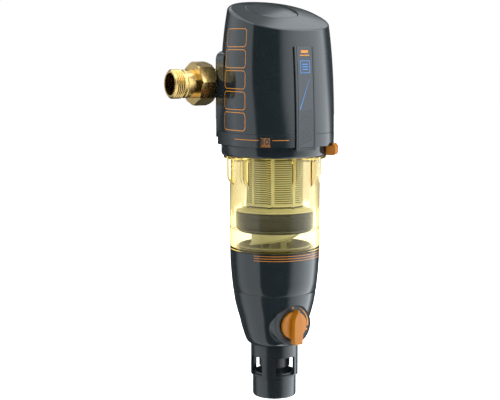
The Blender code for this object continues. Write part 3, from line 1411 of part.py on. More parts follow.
def solid_with_blind_hole(name, profile):
    """The stem, turned round the valve's axis, with the screw's hole cut in its end."""
    outside = [(0, profile[0][1])] + [point for point in profile[1:10]]
    stem = along_valve(turned_part(name, "brass", SMALL, outside, VALVE))
    hole = rod(SCREW_RADIUS + GAP, BOSS_FACE - CUT_SPARE / 2, BOSS_FACE + 2 * CUT_SPARE)
    cut(stem, along_valve(turned_helper("stem_hole", 8, hole, VALVE)))
    return stem


def helper_in_stem(name, mesh):
    """A helper in the valve's own frame."""
    return helper(name, mesh, VALVE)


def make_knob():
    """The orange drain knob with its pointed grip, and the screw that holds it."""
    low = BOSS_FACE + GAP
    face = low + KNOB_DISC_THICK
    profile = [
        (0, face),
        (KNOB_RADIUS - KNOB_EDGE, face),
        (KNOB_RADIUS, face - KNOB_EDGE),
        (KNOB_RADIUS, low),
        (0, low),
    ]
    knob = along_valve(turned_part("drain_knob", "orange_plastic", MEDIUM, profile, VALVE))
    half = GRIP_BAR_WIDTH / 2
    outline = [
        (-half, -GRIP_BAR_TAIL),
        (half, -GRIP_BAR_TAIL),
        (half, GRIP_BAR_SHOULDER),
        (0, GRIP_BAR_TIP),
        (-half, GRIP_BAR_SHOULDER),
    ]
    top = low + GRIP_BAR_PROUD
    bar = plate_mesh("knob_bar", outline, -top, -low - GAP, "Y")
    fuse(knob, helper("knob_bar", bar, VALVE))
    floor = BOSS_FACE + KNOB_DISC_THICK
    inner = [
        (0, top + CUT_SPARE),
        (SCREW_HEAD_RADIUS + GAP, top + CUT_SPARE),
        (SCREW_HEAD_RADIUS + GAP, floor + 2 * GAP),
        (SCREW_RADIUS + GAP, floor + 2 * GAP),
        (SCREW_RADIUS + GAP, floor),
        (STEM_RADIUS + GAP, floor),
        (STEM_RADIUS + GAP, low - CUT_SPARE),
        (0, low - CUT_SPARE),
    ]
    cut(knob, along_valve(turned_helper("knob_bore", SMALL, inner, VALVE)))
    seat = floor + 3 * GAP
    profile = [
        (0, seat + SCREW_HEAD_RADIUS),
        (SCREW_HEAD_RADIUS, seat + SCREW_HEAD_RADIUS),
        (SCREW_HEAD_RADIUS, seat),
        (SCREW_RADIUS, seat),
        (SCREW_RADIUS, BOSS_FACE),
        (0, BOSS_FACE),
    ]
    along_valve(turned_part("knob_screw", "steel", 8, profile, VALVE))


def make_outlet():
    """The air gap neck with its slots, the nozzle inside it and the drain spigot."""
    bore = BALL_BORE + GAP
    spigot_top = VALVE_Z - SEAT_FAR - GAP
    plate_low = NECK_TOP - AIR_GAP_PLATE
    inner = AIR_GAP_RADIUS - AIR_GAP_WALL
    profile = [
        (bore, spigot_top),
        (SEAT_RADIUS, spigot_top),
        (SEAT_RADIUS, NECK_TOP),
        (AIR_GAP_RADIUS, NECK_TOP),
        (AIR_GAP_RADIUS, NECK_BOTTOM),
        (inner, NECK_BOTTOM),
        (inner, plate_low),
        (bore, plate_low),
    ]
    neck = turned_part("air_gap_neck", "anthracite", LARGE, profile, FILTER)
    low = NECK_BOTTOM + AIR_GAP_FOOT
    outer = AIR_GAP_RADIUS + CUT_SPARE
    sector = [(inner - GAP * 4, 0)]
    start = -90 - SLOT_ANGLE / 2
    sector = arc((0, 0), outer, start, start + SLOT_ANGLE, 4)
    sector += arc((0, 0), inner - 4 * GAP, start + SLOT_ANGLE, start, 4)
    slot = plate_mesh("air_slot", sector, low, low + SLOT_HEIGHT)
    for number in range(SLOT_COUNT):
        single = helper("air_slot", slot.copy(), FILTER)
        single.rotation_euler = (0, 0, math.radians(360 * number / SLOT_COUNT))
        cut(neck, single)
    top = plate_low - GAP
    nozzle_inner = NOZZLE_RADIUS - NOZZLE_WALL
    profile = [
        (bore, top),
        (NOZZLE_RADIUS, top),
        (NOZZLE_RADIUS, top - NOZZLE_LENGTH),
        (nozzle_inner, top - NOZZLE_LENGTH),
        (nozzle_inner, top - NOZZLE_WALL),
        (bore, top - NOZZLE_WALL),
    ]
    turned_part("inner_nozzle", "dark_plastic", MEDIUM, profile, FILTER)
    sleeve = inner - GAP
    drain = SPIGOT_RADIUS - SPIGOT_WALL
    profile = [
        (sleeve - SPIGOT_WALL, SPIGOT_TOP + SLEEVE_RISE),
        (sleeve, SPIGOT_TOP + SLEEVE_RISE),
        (sleeve, SPIGOT_TOP),
        (SPIGOT_RADIUS, SPIGOT_TOP),
        (SPIGOT_RADIUS, SPIGOT_BOTTOM + SPIGOT_EDGE),
        (SPIGOT_RADIUS - SPIGOT_EDGE, SPIGOT_BOTTOM),
        (drain - GAP, SPIGOT_BOTTOM),
        (drain - GAP, SPIGOT_TOP - SPIGOT_WALL),
    ]
    turned_part("drain_spigot", "anthracite", LARGE, profile, FILTER)


clear_scene()
PARTS = collection("backwash_filter")
CUTTERS = collection("cutters")
FILTER = empty("filter_axis", (0, -AXIS_OFFSET, 0))
VALVE = empty("valve_axis", (0, 0, VALVE_Z), FILTER)
ROOF = empty("roof_axis", (0, TOP_CAP_BACK, ROOF_HEIGHT + ROOF_SLOPE * TOP_CAP_BACK), FILTER)
ROOF.rotation_euler = (math.atan(ROOF_SLOPE), 0, 0)

make_hood()
make_top_cap()
make_rail()
make_rear_cover()
make_base_ring()
make_month_dial()
make_head()
make_head_cap()
make_connection()
make_flange_parts()
make_union(-1, "inlet", INLET_REACH)
make_union(1, "outlet", OUTLET_REACH)
make_cup()
make_strainer()
make_piston()
make_rod_and_spring()
make_rotor()
make_sump()
make_shroud()
make_housing()
make_valve()
make_knob()
make_outlet()
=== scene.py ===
"""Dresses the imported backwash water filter: finishes, fine shapes, studio and camera."""

import math

import bpy
from mathutils import Matrix, Vector


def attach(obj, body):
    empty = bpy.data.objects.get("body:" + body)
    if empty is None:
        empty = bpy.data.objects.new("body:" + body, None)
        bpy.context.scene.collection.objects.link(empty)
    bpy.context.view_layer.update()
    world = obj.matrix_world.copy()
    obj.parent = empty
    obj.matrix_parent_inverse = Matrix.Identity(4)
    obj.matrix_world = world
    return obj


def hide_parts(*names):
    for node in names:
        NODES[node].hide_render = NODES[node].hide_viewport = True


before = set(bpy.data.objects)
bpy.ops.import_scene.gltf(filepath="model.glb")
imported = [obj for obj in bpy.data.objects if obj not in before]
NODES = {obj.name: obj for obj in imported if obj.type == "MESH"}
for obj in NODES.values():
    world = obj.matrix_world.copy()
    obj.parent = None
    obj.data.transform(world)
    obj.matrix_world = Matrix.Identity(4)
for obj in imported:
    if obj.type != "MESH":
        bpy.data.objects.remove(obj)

bl_info = {
    "name": "Backwash Water Filter",
    "version": (1, 0, 0),
    "blender": (4, 5, 0),
    "location": "3D View > Sidebar > Water Filter",
    "description": "Builds the looks of a backwash water filter round its packed solids",
    "category": "Object",
}

MM = 0.001
TINT_DENSITY = 55.0
AXIS_Y = -0.045
AXIS = Vector((0, AXIS_Y, 0))
VALVE = Vector((0, AXIS_Y, -0.270))
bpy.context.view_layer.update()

# The studio's brightness round the filter, as shares of a turn; the camera stands at 0.5.
STUDIO_BANDS = (
    (0.0, 0.02), (0.158, 0.02), (0.215, 0.31), (0.385, 0.35), (0.39, 0.009), (0.60, 0.008),
    (0.64, 0.38), (0.74, 0.80), (0.834, 1.0), (0.867, 0.18), (0.90, 0.03), (1.0, 0.02))
STUDIO_STRENGTH = 4.4
STUDIO_TINT = (0.90, 0.955, 1.0, 1)
FLOOR_GLOW = 0.72
FLOOR_HEIGHT = -0.46


class FilterSizes(bpy.types.PropertyGroup):
    """Sizes of the fine shapes."""

    turned_steps: bpy.props.IntProperty(
        name="Turned steps", description="Segments round a turned piece", default=96, min=24)
    hood_steps: bpy.props.IntProperty(
        name="Hood steps", description="Segments round the hood", default=144, min=48)
    cage_pitch: bpy.props.FloatProperty(
        name="Cage pitch", description="Distance between the strainer's rings",
        default=2.5 * MM, unit="LENGTH")
    thread_pitch: bpy.props.FloatProperty(
        name="Thread pitch", description="Pitch of the pipe thread",
        default=2.31 * MM, unit="LENGTH")
    edge: bpy.props.FloatProperty(
        name="Edge", description="Radius of small moulded edges", default=0.4 * MM, unit="LENGTH")


def colour_setting(name, description, default):
    """A colour among the settings."""
    return bpy.props.FloatVectorProperty(name=name, description=description, size=3,
                                         subtype="COLOR", default=default, min=0, max=1)


class FilterFinishes(bpy.types.PropertyGroup):
    """Colours of the finishes."""

    anthracite: colour_setting("Anthracite", "Colour of the glossy housings",
                               (0.0105, 0.0145, 0.0165))
    orange: colour_setting("Orange", "Colour of the knob and the tab", (0.36, 0.12, 0.003))
    amber: colour_setting("Amber", "Tint of the clear cup", (0.985, 0.80, 0.0))
    natural: colour_setting("Natural", "Colour of the strainer's plastic", (0.72, 0.70, 0.45))
    brass: colour_setting("Brass", "Colour of the brass unions", (0.66, 0.46, 0.17))
    blue: colour_setting("Blue", "Colour of the stroke on the label strip", (0.03, 0.16, 0.42))


def sizes():
    """The sizes in use."""
    return bpy.context.scene.filter_sizes


def finishes():
    """The colours in use."""
    return bpy.context.scene.filter_finishes


def leave_edit():
    """Goes back to object mode."""
    bpy.ops.object.mode_set(mode="OBJECT")


def clear_selection():
    """Leaves nothing selected and object mode on."""
    if bpy.context.object and bpy.context.object.mode != "OBJECT":
        leave_edit()
    bpy.ops.object.select_all(action="DESELECT")


def activate(obj):
    """Makes one object the only selected and active one."""
    clear_selection()
    obj.select_set(True)
    bpy.context.view_layer.objects.active = obj


def new_material(name):
    """An empty material with its Principled shader."""
    material = bpy.data.materials.new(name)
    material.use_nodes = True
    return material, material.node_tree.nodes, material.node_tree.links


def add_node(nodes, kind, inputs=None, **options):
    """A new shader node with some inputs and options set."""
    node = nodes.new("ShaderNode" + kind)
    for name, value in options.items():
        setattr(node, name, value)
    for name, value in (inputs or {}).items():
        node.inputs[name].default_value = value
    return node


def add_ramp(nodes, stops):
    """A colour ramp from stops, each a position and a colour."""
    ramp = add_node(nodes, "ValToRGB")
    elements = ramp.color_ramp.elements
    while len(elements) < len(stops):
        elements.new(0.5)
    for element, (position, colour) in zip(elements, stops):
        element.position = position
        element.color = (*colour, 1)
    return ramp


def link_all(links, *pairs):
    """Links each output to its input."""
    for output, target in pairs:
        links.new(output, target)


def finish_material(name, colour, roughness, grain=900.0, grain_depth=0.00002, mottle=0.08,
                    metallic=0.0, stretch=(1, 1, 1), rough_spread=0.06, ior=1.5, clear=0.0):
    """A moulded or machined finish: mottled colour, uneven gloss and a fine grain."""
    material, nodes, links = new_material(name)
    shader = nodes["Principled BSDF"]
    for setting, value in (("Metallic", metallic), ("IOR", ior), ("Transmission Weight", clear)):
        shader.inputs[setting].default_value = value
    darker = [c * (1 - mottle) for c in colour]
    lighter = [min(1, c * (1 + mottle)) for c in colour]
    place = add_node(nodes, "TexCoord")
    scale = add_node(nodes, "Mapping", {"Scale": stretch})
    cloud = add_node(nodes, "TexNoise", {"Scale": 55.0, "Detail": 4.0})
    ramp = add_ramp(nodes, ((0.3, darker), (0.7, lighter)))
    spread = add_node(nodes, "MapRange", {"To Min": max(0.02, roughness - rough_spread),
                                          "To Max": roughness + rough_spread})
    fine = add_node(nodes, "TexNoise", {"Scale": grain, "Detail": 2.0})
    bump = add_node(nodes, "Bump", {"Strength": 0.3, "Distance": grain_depth})
    link_all(links, (place.outputs["Object"], scale.inputs["Vector"]),
             (scale.outputs["Vector"], cloud.inputs["Vector"]),
             (scale.outputs["Vector"], fine.inputs["Vector"]),
             (cloud.outputs["Fac"], ramp.inputs["Fac"]),
             (cloud.outputs["Fac"], spread.inputs["Value"]),
             (fine.outputs["Fac"], bump.inputs["Height"]),
             (ramp.outputs["Color"], shader.inputs["Base Color"]),
             (spread.outputs["Result"], shader.inputs["Roughness"]),
             (bump.outputs["Normal"], shader.inputs["Normal"]))
    return material


def amber_material():
    """The clear amber plastic of the cup: the tint grows with the thickness that shows."""
    material = finish_material("amber_clear_plastic", (0.98, 0.97, 0.93), 0.06, grain=260.0,
                               grain_depth=0.00004, mottle=0.015, rough_spread=0.02, ior=1.36,
                               clear=1.0)
    nodes = material.node_tree.nodes
    tint = add_node(nodes, "VolumeAbsorption",
                    {"Color": (*finishes().amber, 1), "Density": TINT_DENSITY})
    material.node_tree.links.new(tint.outputs["Volume"], nodes["Material Output"].inputs["Volume"])
    return material


def make_finishes():
    """Every finish, made once and kept by name."""
    look = finishes()
    return {
        "anthracite": finish_material("anthracite_gloss", look.anthracite, 0.13, mottle=0.05,
                                      rough_spread=0.02, grain=700.0, grain_depth=0.00001),
        "anthracite_satin": finish_material("anthracite_satin", look.anthracite, 0.24,
                                            rough_spread=0.04),
        "black": finish_material("black_moulded", (0.012, 0.013, 0.014), 0.38),
        "orange": finish_material("orange_moulded", look.orange, 0.30, mottle=0.04),
        "print": finish_material("orange_print", [c * 1.65 for c in look.orange], 0.35, mottle=0.05),
        "blue": finish_material("blue_print", look.blue, 0.3, mottle=0.06),
        "strip": finish_material("label_strip_film", (0.026, 0.031, 0.036), 0.24, mottle=0.05),
        "natural": finish_material("natural_moulded", look.natural, 0.40, mottle=0.05),
        "funnel": finish_material("olive_moulded", (0.35, 0.33, 0.20), 0.42, mottle=0.06),
        "piston": finish_material("piston_moulded", (0.012, 0.012, 0.011), 0.42, ior=1.2),
        "brass": finish_material("turned_brass", look.brass, 0.20, metallic=1.0, mottle=0.10,
                                 grain=500.0, stretch=(6, 1, 1), grain_depth=0.00003),
        "steel": finish_material("bright_steel", (0.62, 0.62, 0.64), 0.22, metallic=1.0,
                                 stretch=(1, 1, 6)),
        # Dark olive painted shade: the dark line that the groove shows in the clear cup.
        "groove_shade": finish_material("olive_groove_shade", (0.10, 0.085, 0.02), 0.4),
        "mesh": finish_material("fine_steel_mesh", (0.20, 0.19, 0.10), 0.45, metallic=0.4,
                                grain=1500.0, grain_depth=0.0001),
        "rubber": finish_material("black_rubber", (0.010, 0.010, 0.010), 0.62),
        "seat": finish_material("white_seat_plastic", (0.82, 0.82, 0.79), 0.4),
        "amber": amber_material(),
        "clear": finish_material("clear_window_plastic", (0.97, 0.97, 0.97), 0.04, mottle=0.02,
                                 rough_spread=0.02, ior=1.15, clear=1.0),
    }


LOOKS = {}


def dress(obj, look, body=None, replaces=()):
    """Gives a piece its finish, hangs it on the body it rides on and hides the CAD nodes it
    replaces.
    """
    obj.data.materials.clear()
    obj.data.materials.append(LOOKS[look])
    if body:
        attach(obj, body)
    if replaces:
        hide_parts(*replaces)
    return obj


def select_all_mesh():
    """Goes into edit mode with the whole mesh selected."""
    bpy.ops.object.mode_set(mode="EDIT")
    bpy.ops.mesh.select_all(action="SELECT")


def shade(smooth=35):
    """Shades the active object smooth below an angle."""
    bpy.ops.object.shade_smooth_by_angle(angle=math.radians(smooth))


def shaped(obj, kind, **settings):
    """Applies a modifier of one kind to a piece."""
    activate(obj)
    modifier = obj.modifiers.new("Shape", kind)
    for name, value in settings.items():
        setattr(modifier, name, value)
    bpy.ops.object.modifier_apply(modifier="Shape")


def close_up(smooth=35):
    """Merges doubles, turns the faces outwards and shades the active object."""
    select_all_mesh()
    bpy.ops.mesh.remove_doubles(threshold=0.000002)
    bpy.ops.mesh.normals_make_consistent(inside=False)
    leave_edit()
    shade(smooth)


def circle(name, count):
    """A circle of edges at the origin, whose points are set afterwards."""
    clear_selection()
    bpy.ops.mesh.primitive_circle_add(vertices=count, radius=0.01, fill_type="NOTHING",
                                      location=(0, 0, 0))
    obj = bpy.context.object
    obj.name = name
    return obj


def turned(name, profile, steps=None, place=None, smooth=35):
    """A turned piece: a circle's points are set on the profile in millimetres, then spun."""
    obj = circle(name, len(profile))
    for vertex, (radius, height) in zip(obj.data.vertices, profile):
        vertex.co = (radius * MM, 0, height * MM)
    bpy.ops.object.mode_set(mode="EDIT")
    bpy.ops.mesh.select_all(action="DESELECT")
    leave_edit()
    axial = [v.index for v in obj.data.vertices if abs(v.co.x) < 1e-7]
    for edge in obj.data.edges:
        edge.select = edge.vertices[0] in axial and edge.vertices[1] in axial
    if any(edge.select for edge in obj.data.edges):
        bpy.ops.object.mode_set(mode="EDIT")
        bpy.ops.mesh.select_mode(type="EDGE")
        bpy.ops.mesh.delete(type="EDGE")
        bpy.ops.mesh.select_mode(type="VERT")
    select_all_mesh()
    bpy.ops.mesh.spin(steps=steps or sizes().turned_steps, angle=2 * math.pi,
                      center=(0, 0, 0), axis=(0, 0, 1))
    leave_edit()
    close_up(smooth)
    obj.data.transform(place or Matrix.Translation(AXIS))
    return obj


def lofted(name, rings, top_pole=None, bottom_cap=True):
    """A piece extruded ring by ring from a circle, each ring set on its own points."""
    count = len(rings[0])
    obj = circle(name, count)
    select_all_mesh()
    if bottom_cap:
        bpy.ops.mesh.edge_face_add()
        bpy.ops.mesh.select_all(action="SELECT")
    for _ in rings[1:]:
        bpy.ops.mesh.extrude_region_move()
    if top_pole is not None:
        bpy.ops.mesh.extrude_region_move()
    leave_edit()
    points = [point for ring in rings for point in ring]
    if top_pole is not None:
        points += [Vector(top_pole)] * count
    for vertex, point in zip(obj.data.vertices, points):
        vertex.co = point
    close_up()
    return obj


def bevelled(obj, width, segments=2, angle=35):
    """Rounds the sharp edges of a piece."""
    shaped(obj, "BEVEL", width=width, segments=segments, limit_method="ANGLE",
           angle_limit=math.radians(angle), use_clamp_overlap=True)
    shade()
    return obj


def carve(obj, tool, operation="DIFFERENCE"):
    """Applies a Boolean with another piece and removes that piece."""
    shaped(obj, "BOOLEAN", operation=operation, solver="EXACT", object=tool)
    bpy.data.objects.remove(tool, do_unlink=True)
    activate(obj)
    close_up()
    return obj


def block(name, low, high):
    """A block between two corners in metres."""
    clear_selection()
    bpy.ops.mesh.primitive_cube_add(size=1, location=(0, 0, 0))
    obj = bpy.context.object
    obj.name = name
    size = Vector(high) - Vector(low)
    middle = (Vector(high) + Vector(low)) / 2
    obj.data.transform(Matrix.Translation(middle) @ Matrix.Diagonal((*size, 1)))
    return obj


def slab(name, outline, low, high, facing="Z"):
    """An outline in metres, filled and extruded between two heights."""
    obj = circle(name, len(outline))
    for vertex, (x, y) in zip(obj.data.vertices, outline):
        vertex.co = (x, y, low)
    select_all_mesh()
    bpy.ops.mesh.edge_face_add()
    bpy.ops.mesh.extrude_region_move(TRANSFORM_OT_translate={"value": (0, 0, high - low)})
    leave_edit()
    if facing == "Y":
        obj.data.transform(Matrix(((1, 0, 0, 0), (0, 0, 1, 0), (0, 1, 0, 0), (0, 0, 0, 1))))
    if facing == "X":
        obj.data.transform(Matrix(((0, 0, 1, 0), (1, 0, 0, 0), (0, 1, 0, 0), (0, 0, 0, 1))))
    close_up()
    return obj


def joined(name, pieces):
    """Several pieces made into one object."""
    clear_selection()
    for piece in pieces:
        piece.select_set(True)
    bpy.context.view_layer.objects.active = pieces[0]
    bpy.ops.object.join()
    obj = bpy.context.object
    obj.name = name
    shade()
    return obj


def twin(obj, name, turn):
    """A copy with its own mesh, moved by a matrix."""
    activate(obj)
    bpy.ops.object.duplicate(linked=False)
    copy = bpy.context.object
    copy.name = name
    copy.data.transform(turn)
    return copy


def on_axis(*pieces):
    """Moves pieces that were drawn round the origin to the filter's axis."""
    for piece in pieces:
        piece.data.transform(Matrix.Translation(AXIS))


def about_axis(degrees):
    """A turn about the filter's upright axis, counted from the front towards +X."""
    return Matrix.Translation(AXIS) @ Matrix.Rotation(math.radians(degrees), 4, "Z") @ \
        Matrix.Translation(-AXIS)


def along_valve():
    """Puts a turned piece's top towards the front, on the valve's axis."""
    return Matrix.Translation(VALVE) @ Matrix.Rotation(math.pi / 2, 4, "X")


def along_pipe(side):
    """Puts a turned piece's top outwards along the pipe."""
    return Matrix.Rotation(side * math.pi / 2, 4, "Y")


def refined(node, name, smooth=40, edge=0.0):
    """A merged and smooth copy of a CAD node, with its edges rounded."""
    activate(NODES[node])
    bpy.ops.object.duplicate(linked=False)
    copy = bpy.context.object
    copy.name = name
    copy.parent = None
    copy.matrix_world = Matrix.Identity(4)
    for key in list(copy.keys()):
        if key.startswith("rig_"):
            del copy[key]
    if copy.data.has_custom_normals:
        bpy.ops.mesh.customdata_custom_splitnormals_clear()
    select_all_mesh()
    bpy.ops.mesh.remove_doubles(threshold=0.000005)
    bpy.ops.mesh.tris_convert_to_quads(face_threshold=0.02, shape_threshold=1.0)
    leave_edit()
    shade(smooth)
    if edge:
        bevelled(copy, edge)
    return copy


def arc(centre, radius, start, end, steps):
    """Points on an arc, in degrees counter-clockwise."""
    points = []
    for i in range(steps + 1):
        angle = math.radians(start + (end - start) * i / steps)
        points.append((centre[0] + radius * math.cos(angle), centre[1] + radius * math.sin(angle)))
    return points


def superellipse(turn, half_width, depth, squareness):
    """A point of a squarish oval, at an angle from the front."""
    across = math.sin(turn)
    along = math.cos(turn)
    x = half_width * math.copysign(abs(across) ** (2 / squareness), across)
    y = -depth * math.copysign(abs(along) ** (2 / squareness), along)
    return x, y


def hood_plan(z):
    """Half width, front depth and back depth of the hood at a height, in metres."""
    rise = max(0.0, (z + 0.061) / 0.130)
    return (0.062 - 0.006 * rise**3.1, 0.0645 - 0.0085 * rise**1.9, 0.0555 - 0.0044 * rise**3.8)


ROOF_HEIGHT = 0.0785
ROOF_SLOPE = 0.33
ROOF_DOME = 0.0012
HOOD_BOTTOM = -0.053
HOOD_WALL = 0.0025
EAR_HALF = 0.061
EAR_TOP = 0.037
EAR_CORNER = 0.009
EAR_FRONT = 0.010
EAR_BACK = 0.025
PIPE_SLOT = 0.0335
CAP_BACK = 0.009
BASE_HALF = 0.062
BASE_FRONT = 0.0645
BASE_TOP = -0.0533
BASE_LOW = -0.0675
RAIL_HALF = 0.01275
RAIL_RIB = 0.0029
RAIL_FOOT = 0.0036
RAIL_PROUD = 0.0019
RAIL_TOP = 0.042
RAIL_LOW = -0.0714
FIT = 0.0003
ROUND_RADIUS = 0.060
WINDOW_TURN = -40
PRINT_LIFT = 0.00006
PRINT_FILM = 0.00003
STRIP_LIFT = 0.00004


def hood_side(turn, z, inset):
    """A point of the hood's plan at a height: squarer at the front than at the back."""
    half_width, front, back = hood_plan(z)
    if math.cos(turn) >= 0:
        return superellipse(turn, half_width - inset, front - inset, 2.5)
    return superellipse(turn, half_width - inset, back - inset, 2.2)


def roof_edge(turn):
    """The radius between the hood's side and its roof."""
    share = (1 - math.cos(turn)) / 2
    return 0.0012 + (0.008 - 0.0012) * share**1.5


def hood_point(turn, share, inset, sink):
    """A point on the hood's side wall, at a share of the height to the roof."""
    y = 0.0
    for _ in range(6):
        roof = ROOF_HEIGHT + ROOF_SLOPE * y - sink
        z = HOOD_BOTTOM + share * (roof - HOOD_BOTTOM)
        x, y = hood_side(turn, z, inset)
    return Vector((x, y, z))


def hood_barrel(name, inset):
    """The hood's barrel with its sloping roof, as a closed piece."""
    count = sizes().hood_steps
    turns = [2 * math.pi * i / count for i in range(count)]
    rings = []
    levels = 20
    for i in range(levels + 1):
        share = i / levels
        if inset and i == 0:
            share = -0.1
        rings.append([hood_point(t, share, inset, inset + (0 if inset else roof_edge(t)))
                      for t in turns])
    crown = rings[-1]
    if not inset:
        for lean in range(15, 91, 15):
            ring = []
            for turn, foot in zip(turns, crown):
                edge = roof_edge(turn)
                inward = edge * (1 - math.cos(math.radians(lean)))
                near = foot.xy * (1 - inward / foot.xy.length)
                z = ROOF_HEIGHT + ROOF_SLOPE * near.y - edge * (1 - math.sin(math.radians(lean)))
                ring.append(Vector((near.x, near.y, z)))
            rings.append(ring)
    rim = rings[-1]
    for shrink in (0.94, 0.8, 0.6, 0.4, 0.2):
        ring = []
        for point in rim:
            y = point.y * shrink
            z = ROOF_HEIGHT + ROOF_SLOPE * y - inset + ROOF_DOME * (1 - shrink**2)
            ring.append(Vector((point.x * shrink, y, z)))
        rings.append(ring)
    obj = lofted(name, rings, (0, 0, ROOF_HEIGHT - inset + ROOF_DOME))
    on_axis(obj)
    return obj


def ear_outline(inset, low):
    """The hood's ears seen from the front."""
    half = EAR_HALF - inset
    top = EAR_TOP - inset
    corner = EAR_CORNER - inset
    right = arc((half - corner, top - corner), corner, 0, 90, 12)
    left = arc((corner - half, top - corner), corner, 90, 180, 12)
    return [(-half, low), (half, low), *right, *left]


def roof_place():
    """The frame of the round cap in the sloping roof."""
    return Matrix.Translation(AXIS + Vector((0, CAP_BACK, ROOF_HEIGHT + ROOF_SLOPE * CAP_BACK))) @ \
        Matrix.Rotation(math.atan(ROOF_SLOPE), 4, "X")


class FILTER_OT_hood(bpy.types.Operator):
    """Builds the tapered hood with its ears and the round cap in its roof."""

    bl_idname = "water_filter.hood"
    bl_label = "Hood"

    def execute(self, context):
        inner_back = EAR_BACK - HOOD_WALL
        hood = hood_barrel("hood_shell", 0.0)
        core = hood_barrel("core", HOOD_WALL)
        ears = slab("ears", ear_outline(0.0, HOOD_BOTTOM), EAR_FRONT, EAR_BACK, "Y")
        pocket = slab("pocket", ear_outline(HOOD_WALL, HOOD_BOTTOM - 0.01), 0.004, inner_back, "Y")
        slot = [(-PIPE_SLOT, HOOD_BOTTOM - 0.01), (PIPE_SLOT, HOOD_BOTTOM - 0.01)]
        slot += arc((0, 0), PIPE_SLOT, 0, 180, 32)
        slot = slab("slot", slot, 0.018, 0.030, "Y")
        on_axis(ears, pocket, slot)
        carve(hood, ears, "UNION")
        carve(hood, block("rear", (-0.13, AXIS_Y + EAR_BACK, HOOD_BOTTOM - 0.02),
                          (0.13, 0.08, EAR_TOP)))
        carve(core, pocket, "UNION")
        carve(core, block("rear", (-0.13, AXIS_Y + inner_back, HOOD_BOTTOM - 0.03),
                          (0.13, 0.08, EAR_TOP + HOOD_WALL)))
        carve(hood, core)
        carve(hood, slot)
        hole = turned("hole", [(0, 10), (31, 10), (31, -10), (0, -10)], place=roof_place())
        carve(hood, hole)
        activate(hood)
        shade(28)
        dress(hood, "anthracite", "hood", ["hood"])
        dome = ROOF_DOME / MM / 2
        cap = turned("roof_cap", [
            (0, dome * 2), (8, dome * 1.95), (16, dome * 1.7), (24, dome * 1.3), (29.6, dome * 0.95),
            (30.2, dome * 0.7), (30.45, dome * 0.2), (30.5, dome - 1), (30.5, -6.5), (28, -6.5),
            (28, -1.6), (0, -1.6)], place=roof_place())
        dress(cap, "anthracite", "hood", ["hood_top_cap"])
        return {"FINISHED"}


def hood_mark_point(along, z):
    """A point just over the hood's face, at a distance round it from the middle of the front."""
    x, y = hood_side(along / ROUND_RADIUS, z, -PRINT_LIFT)
    return Vector((x, y, z)) + AXIS


def hood_base_point(along, z):
    """A point just over the base ring's face."""
    x, y = superellipse(along / ROUND_RADIUS, BASE_HALF + PRINT_LIFT, BASE_FRONT + PRINT_LIFT, 2.5)
    return Vector((x, y, z)) + AXIS


def shroud_mark_point(along, z):
    """A point just over the shroud's face, at a distance round it from the middle of the front."""
    radius = 0.0512 + (z + 0.1875) * 0.024 + PRINT_LIFT
    turn = along / radius
    return Vector((radius * math.sin(turn), -radius * math.cos(turn), z)) + AXIS


def printed_frame(name, low, high, width, corner, point):
    """A printed outline with round corners, laid on a face."""
    def loop(inset):
        round_corner = max(corner - inset, 0.0001)
        x0, z0 = low[0] + inset + round_corner, low[1] + inset + round_corner
        x1, z1 = high[0] - inset - round_corner, high[1] - inset - round_corner
        path = arc((x1, z0), round_corner, -90, 0, 4) + arc((x1, z1), round_corner, 0, 90, 4)
        path += [(x1 + (x0 - x1) * i / 8, z1 + round_corner) for i in range(1, 8)]
        path += arc((x0, z1), round_corner, 90, 180, 4) + arc((x0, z0), round_corner, 180, 270, 4)
        path += [(x0 + (x1 - x0) * i / 8, z0 - round_corner) for i in range(1, 8)]
        return [point(x, z) for x, z in path]
    obj = lofted(name, [loop(0.0), loop(width)], bottom_cap=False)
    return thickened(obj)


def printed_line(name, start, end, widths, point, steps=12):
    """A printed line between two places on a face, with its width at each end."""
    clear_selection()
    bpy.ops.mesh.primitive_grid_add(x_subdivisions=1, y_subdivisions=steps, size=0.01)
    obj = bpy.context.object
    obj.name = name
    start = Vector(start)
    end = Vector(end)
    across = Vector((-(end - start).y, (end - start).x)).normalized()
    for index, vertex in enumerate(obj.data.vertices):
        row, side = divmod(index, 2)
        share = row / steps
        width = widths[0] + (widths[1] - widths[0]) * share
        place = start.lerp(end, share) + across * width * (side - 0.5)
        vertex.co = point(place.x, place.y)
    return thickened(obj)


def thickened(obj):
    """Gives a printed sheet its film thickness."""
    shaped(obj, "SOLIDIFY", thickness=PRINT_FILM, offset=0)
    close_up()
    return obj


class FILTER_OT_hood_print(bpy.types.Operator):
    """Prints the plain orange frames up the hood and the fine lines round it and the shroud."""

    bl_idname = "water_filter.hood_print"
    bl_label = "Printed lines"

    def execute(self, context):
        frames = [printed_frame("frame", (-0.0995, level), (-0.0680, level + 0.0203), 0.0007,
                                0.0040, hood_mark_point)
                  for level in [-0.0500 + 0.0228 * i for i in range(5)]]
        dress(joined("hood_frames", frames), "print", "hood")
        level = -0.0592
        lines = [printed_line("line", (start, level), (end, level), (0.0006, 0.0006),
                              hood_base_point, 16)
                 for start, end in ((-0.084, -0.0505), (-0.0335, -0.0145))]
        dress(joined("base_lines", lines), "print", "frame")
        lines = [printed_line("line", (-0.052, level), (0.060, level), (0.0005, 0.0005),
                              shroud_mark_point, 40)
                 for level in [-0.1895 - 0.0027 * i for i in range(3)]]
        dress(joined("shroud_lines", lines), "print", "frame")
        return {"FINISHED"}


def rail_outline(back, front, low, high):
    """The rail seen from the side, following the hood's front between two stand-offs."""
    levels = [low + (high - low) * i / 24 for i in range(25)]
    outer = [(-hood_plan(z)[1] - front, z) for z in levels]
    inner = [(-hood_plan(z)[1] - back, z) for z in reversed(levels)]
    return outer + inner


def strip_point(x, z):
    """A point just over the label strip's face."""
    return Vector((x, -hood_plan(z)[1] - RAIL_PROUD - STRIP_LIFT, z)) + AXIS


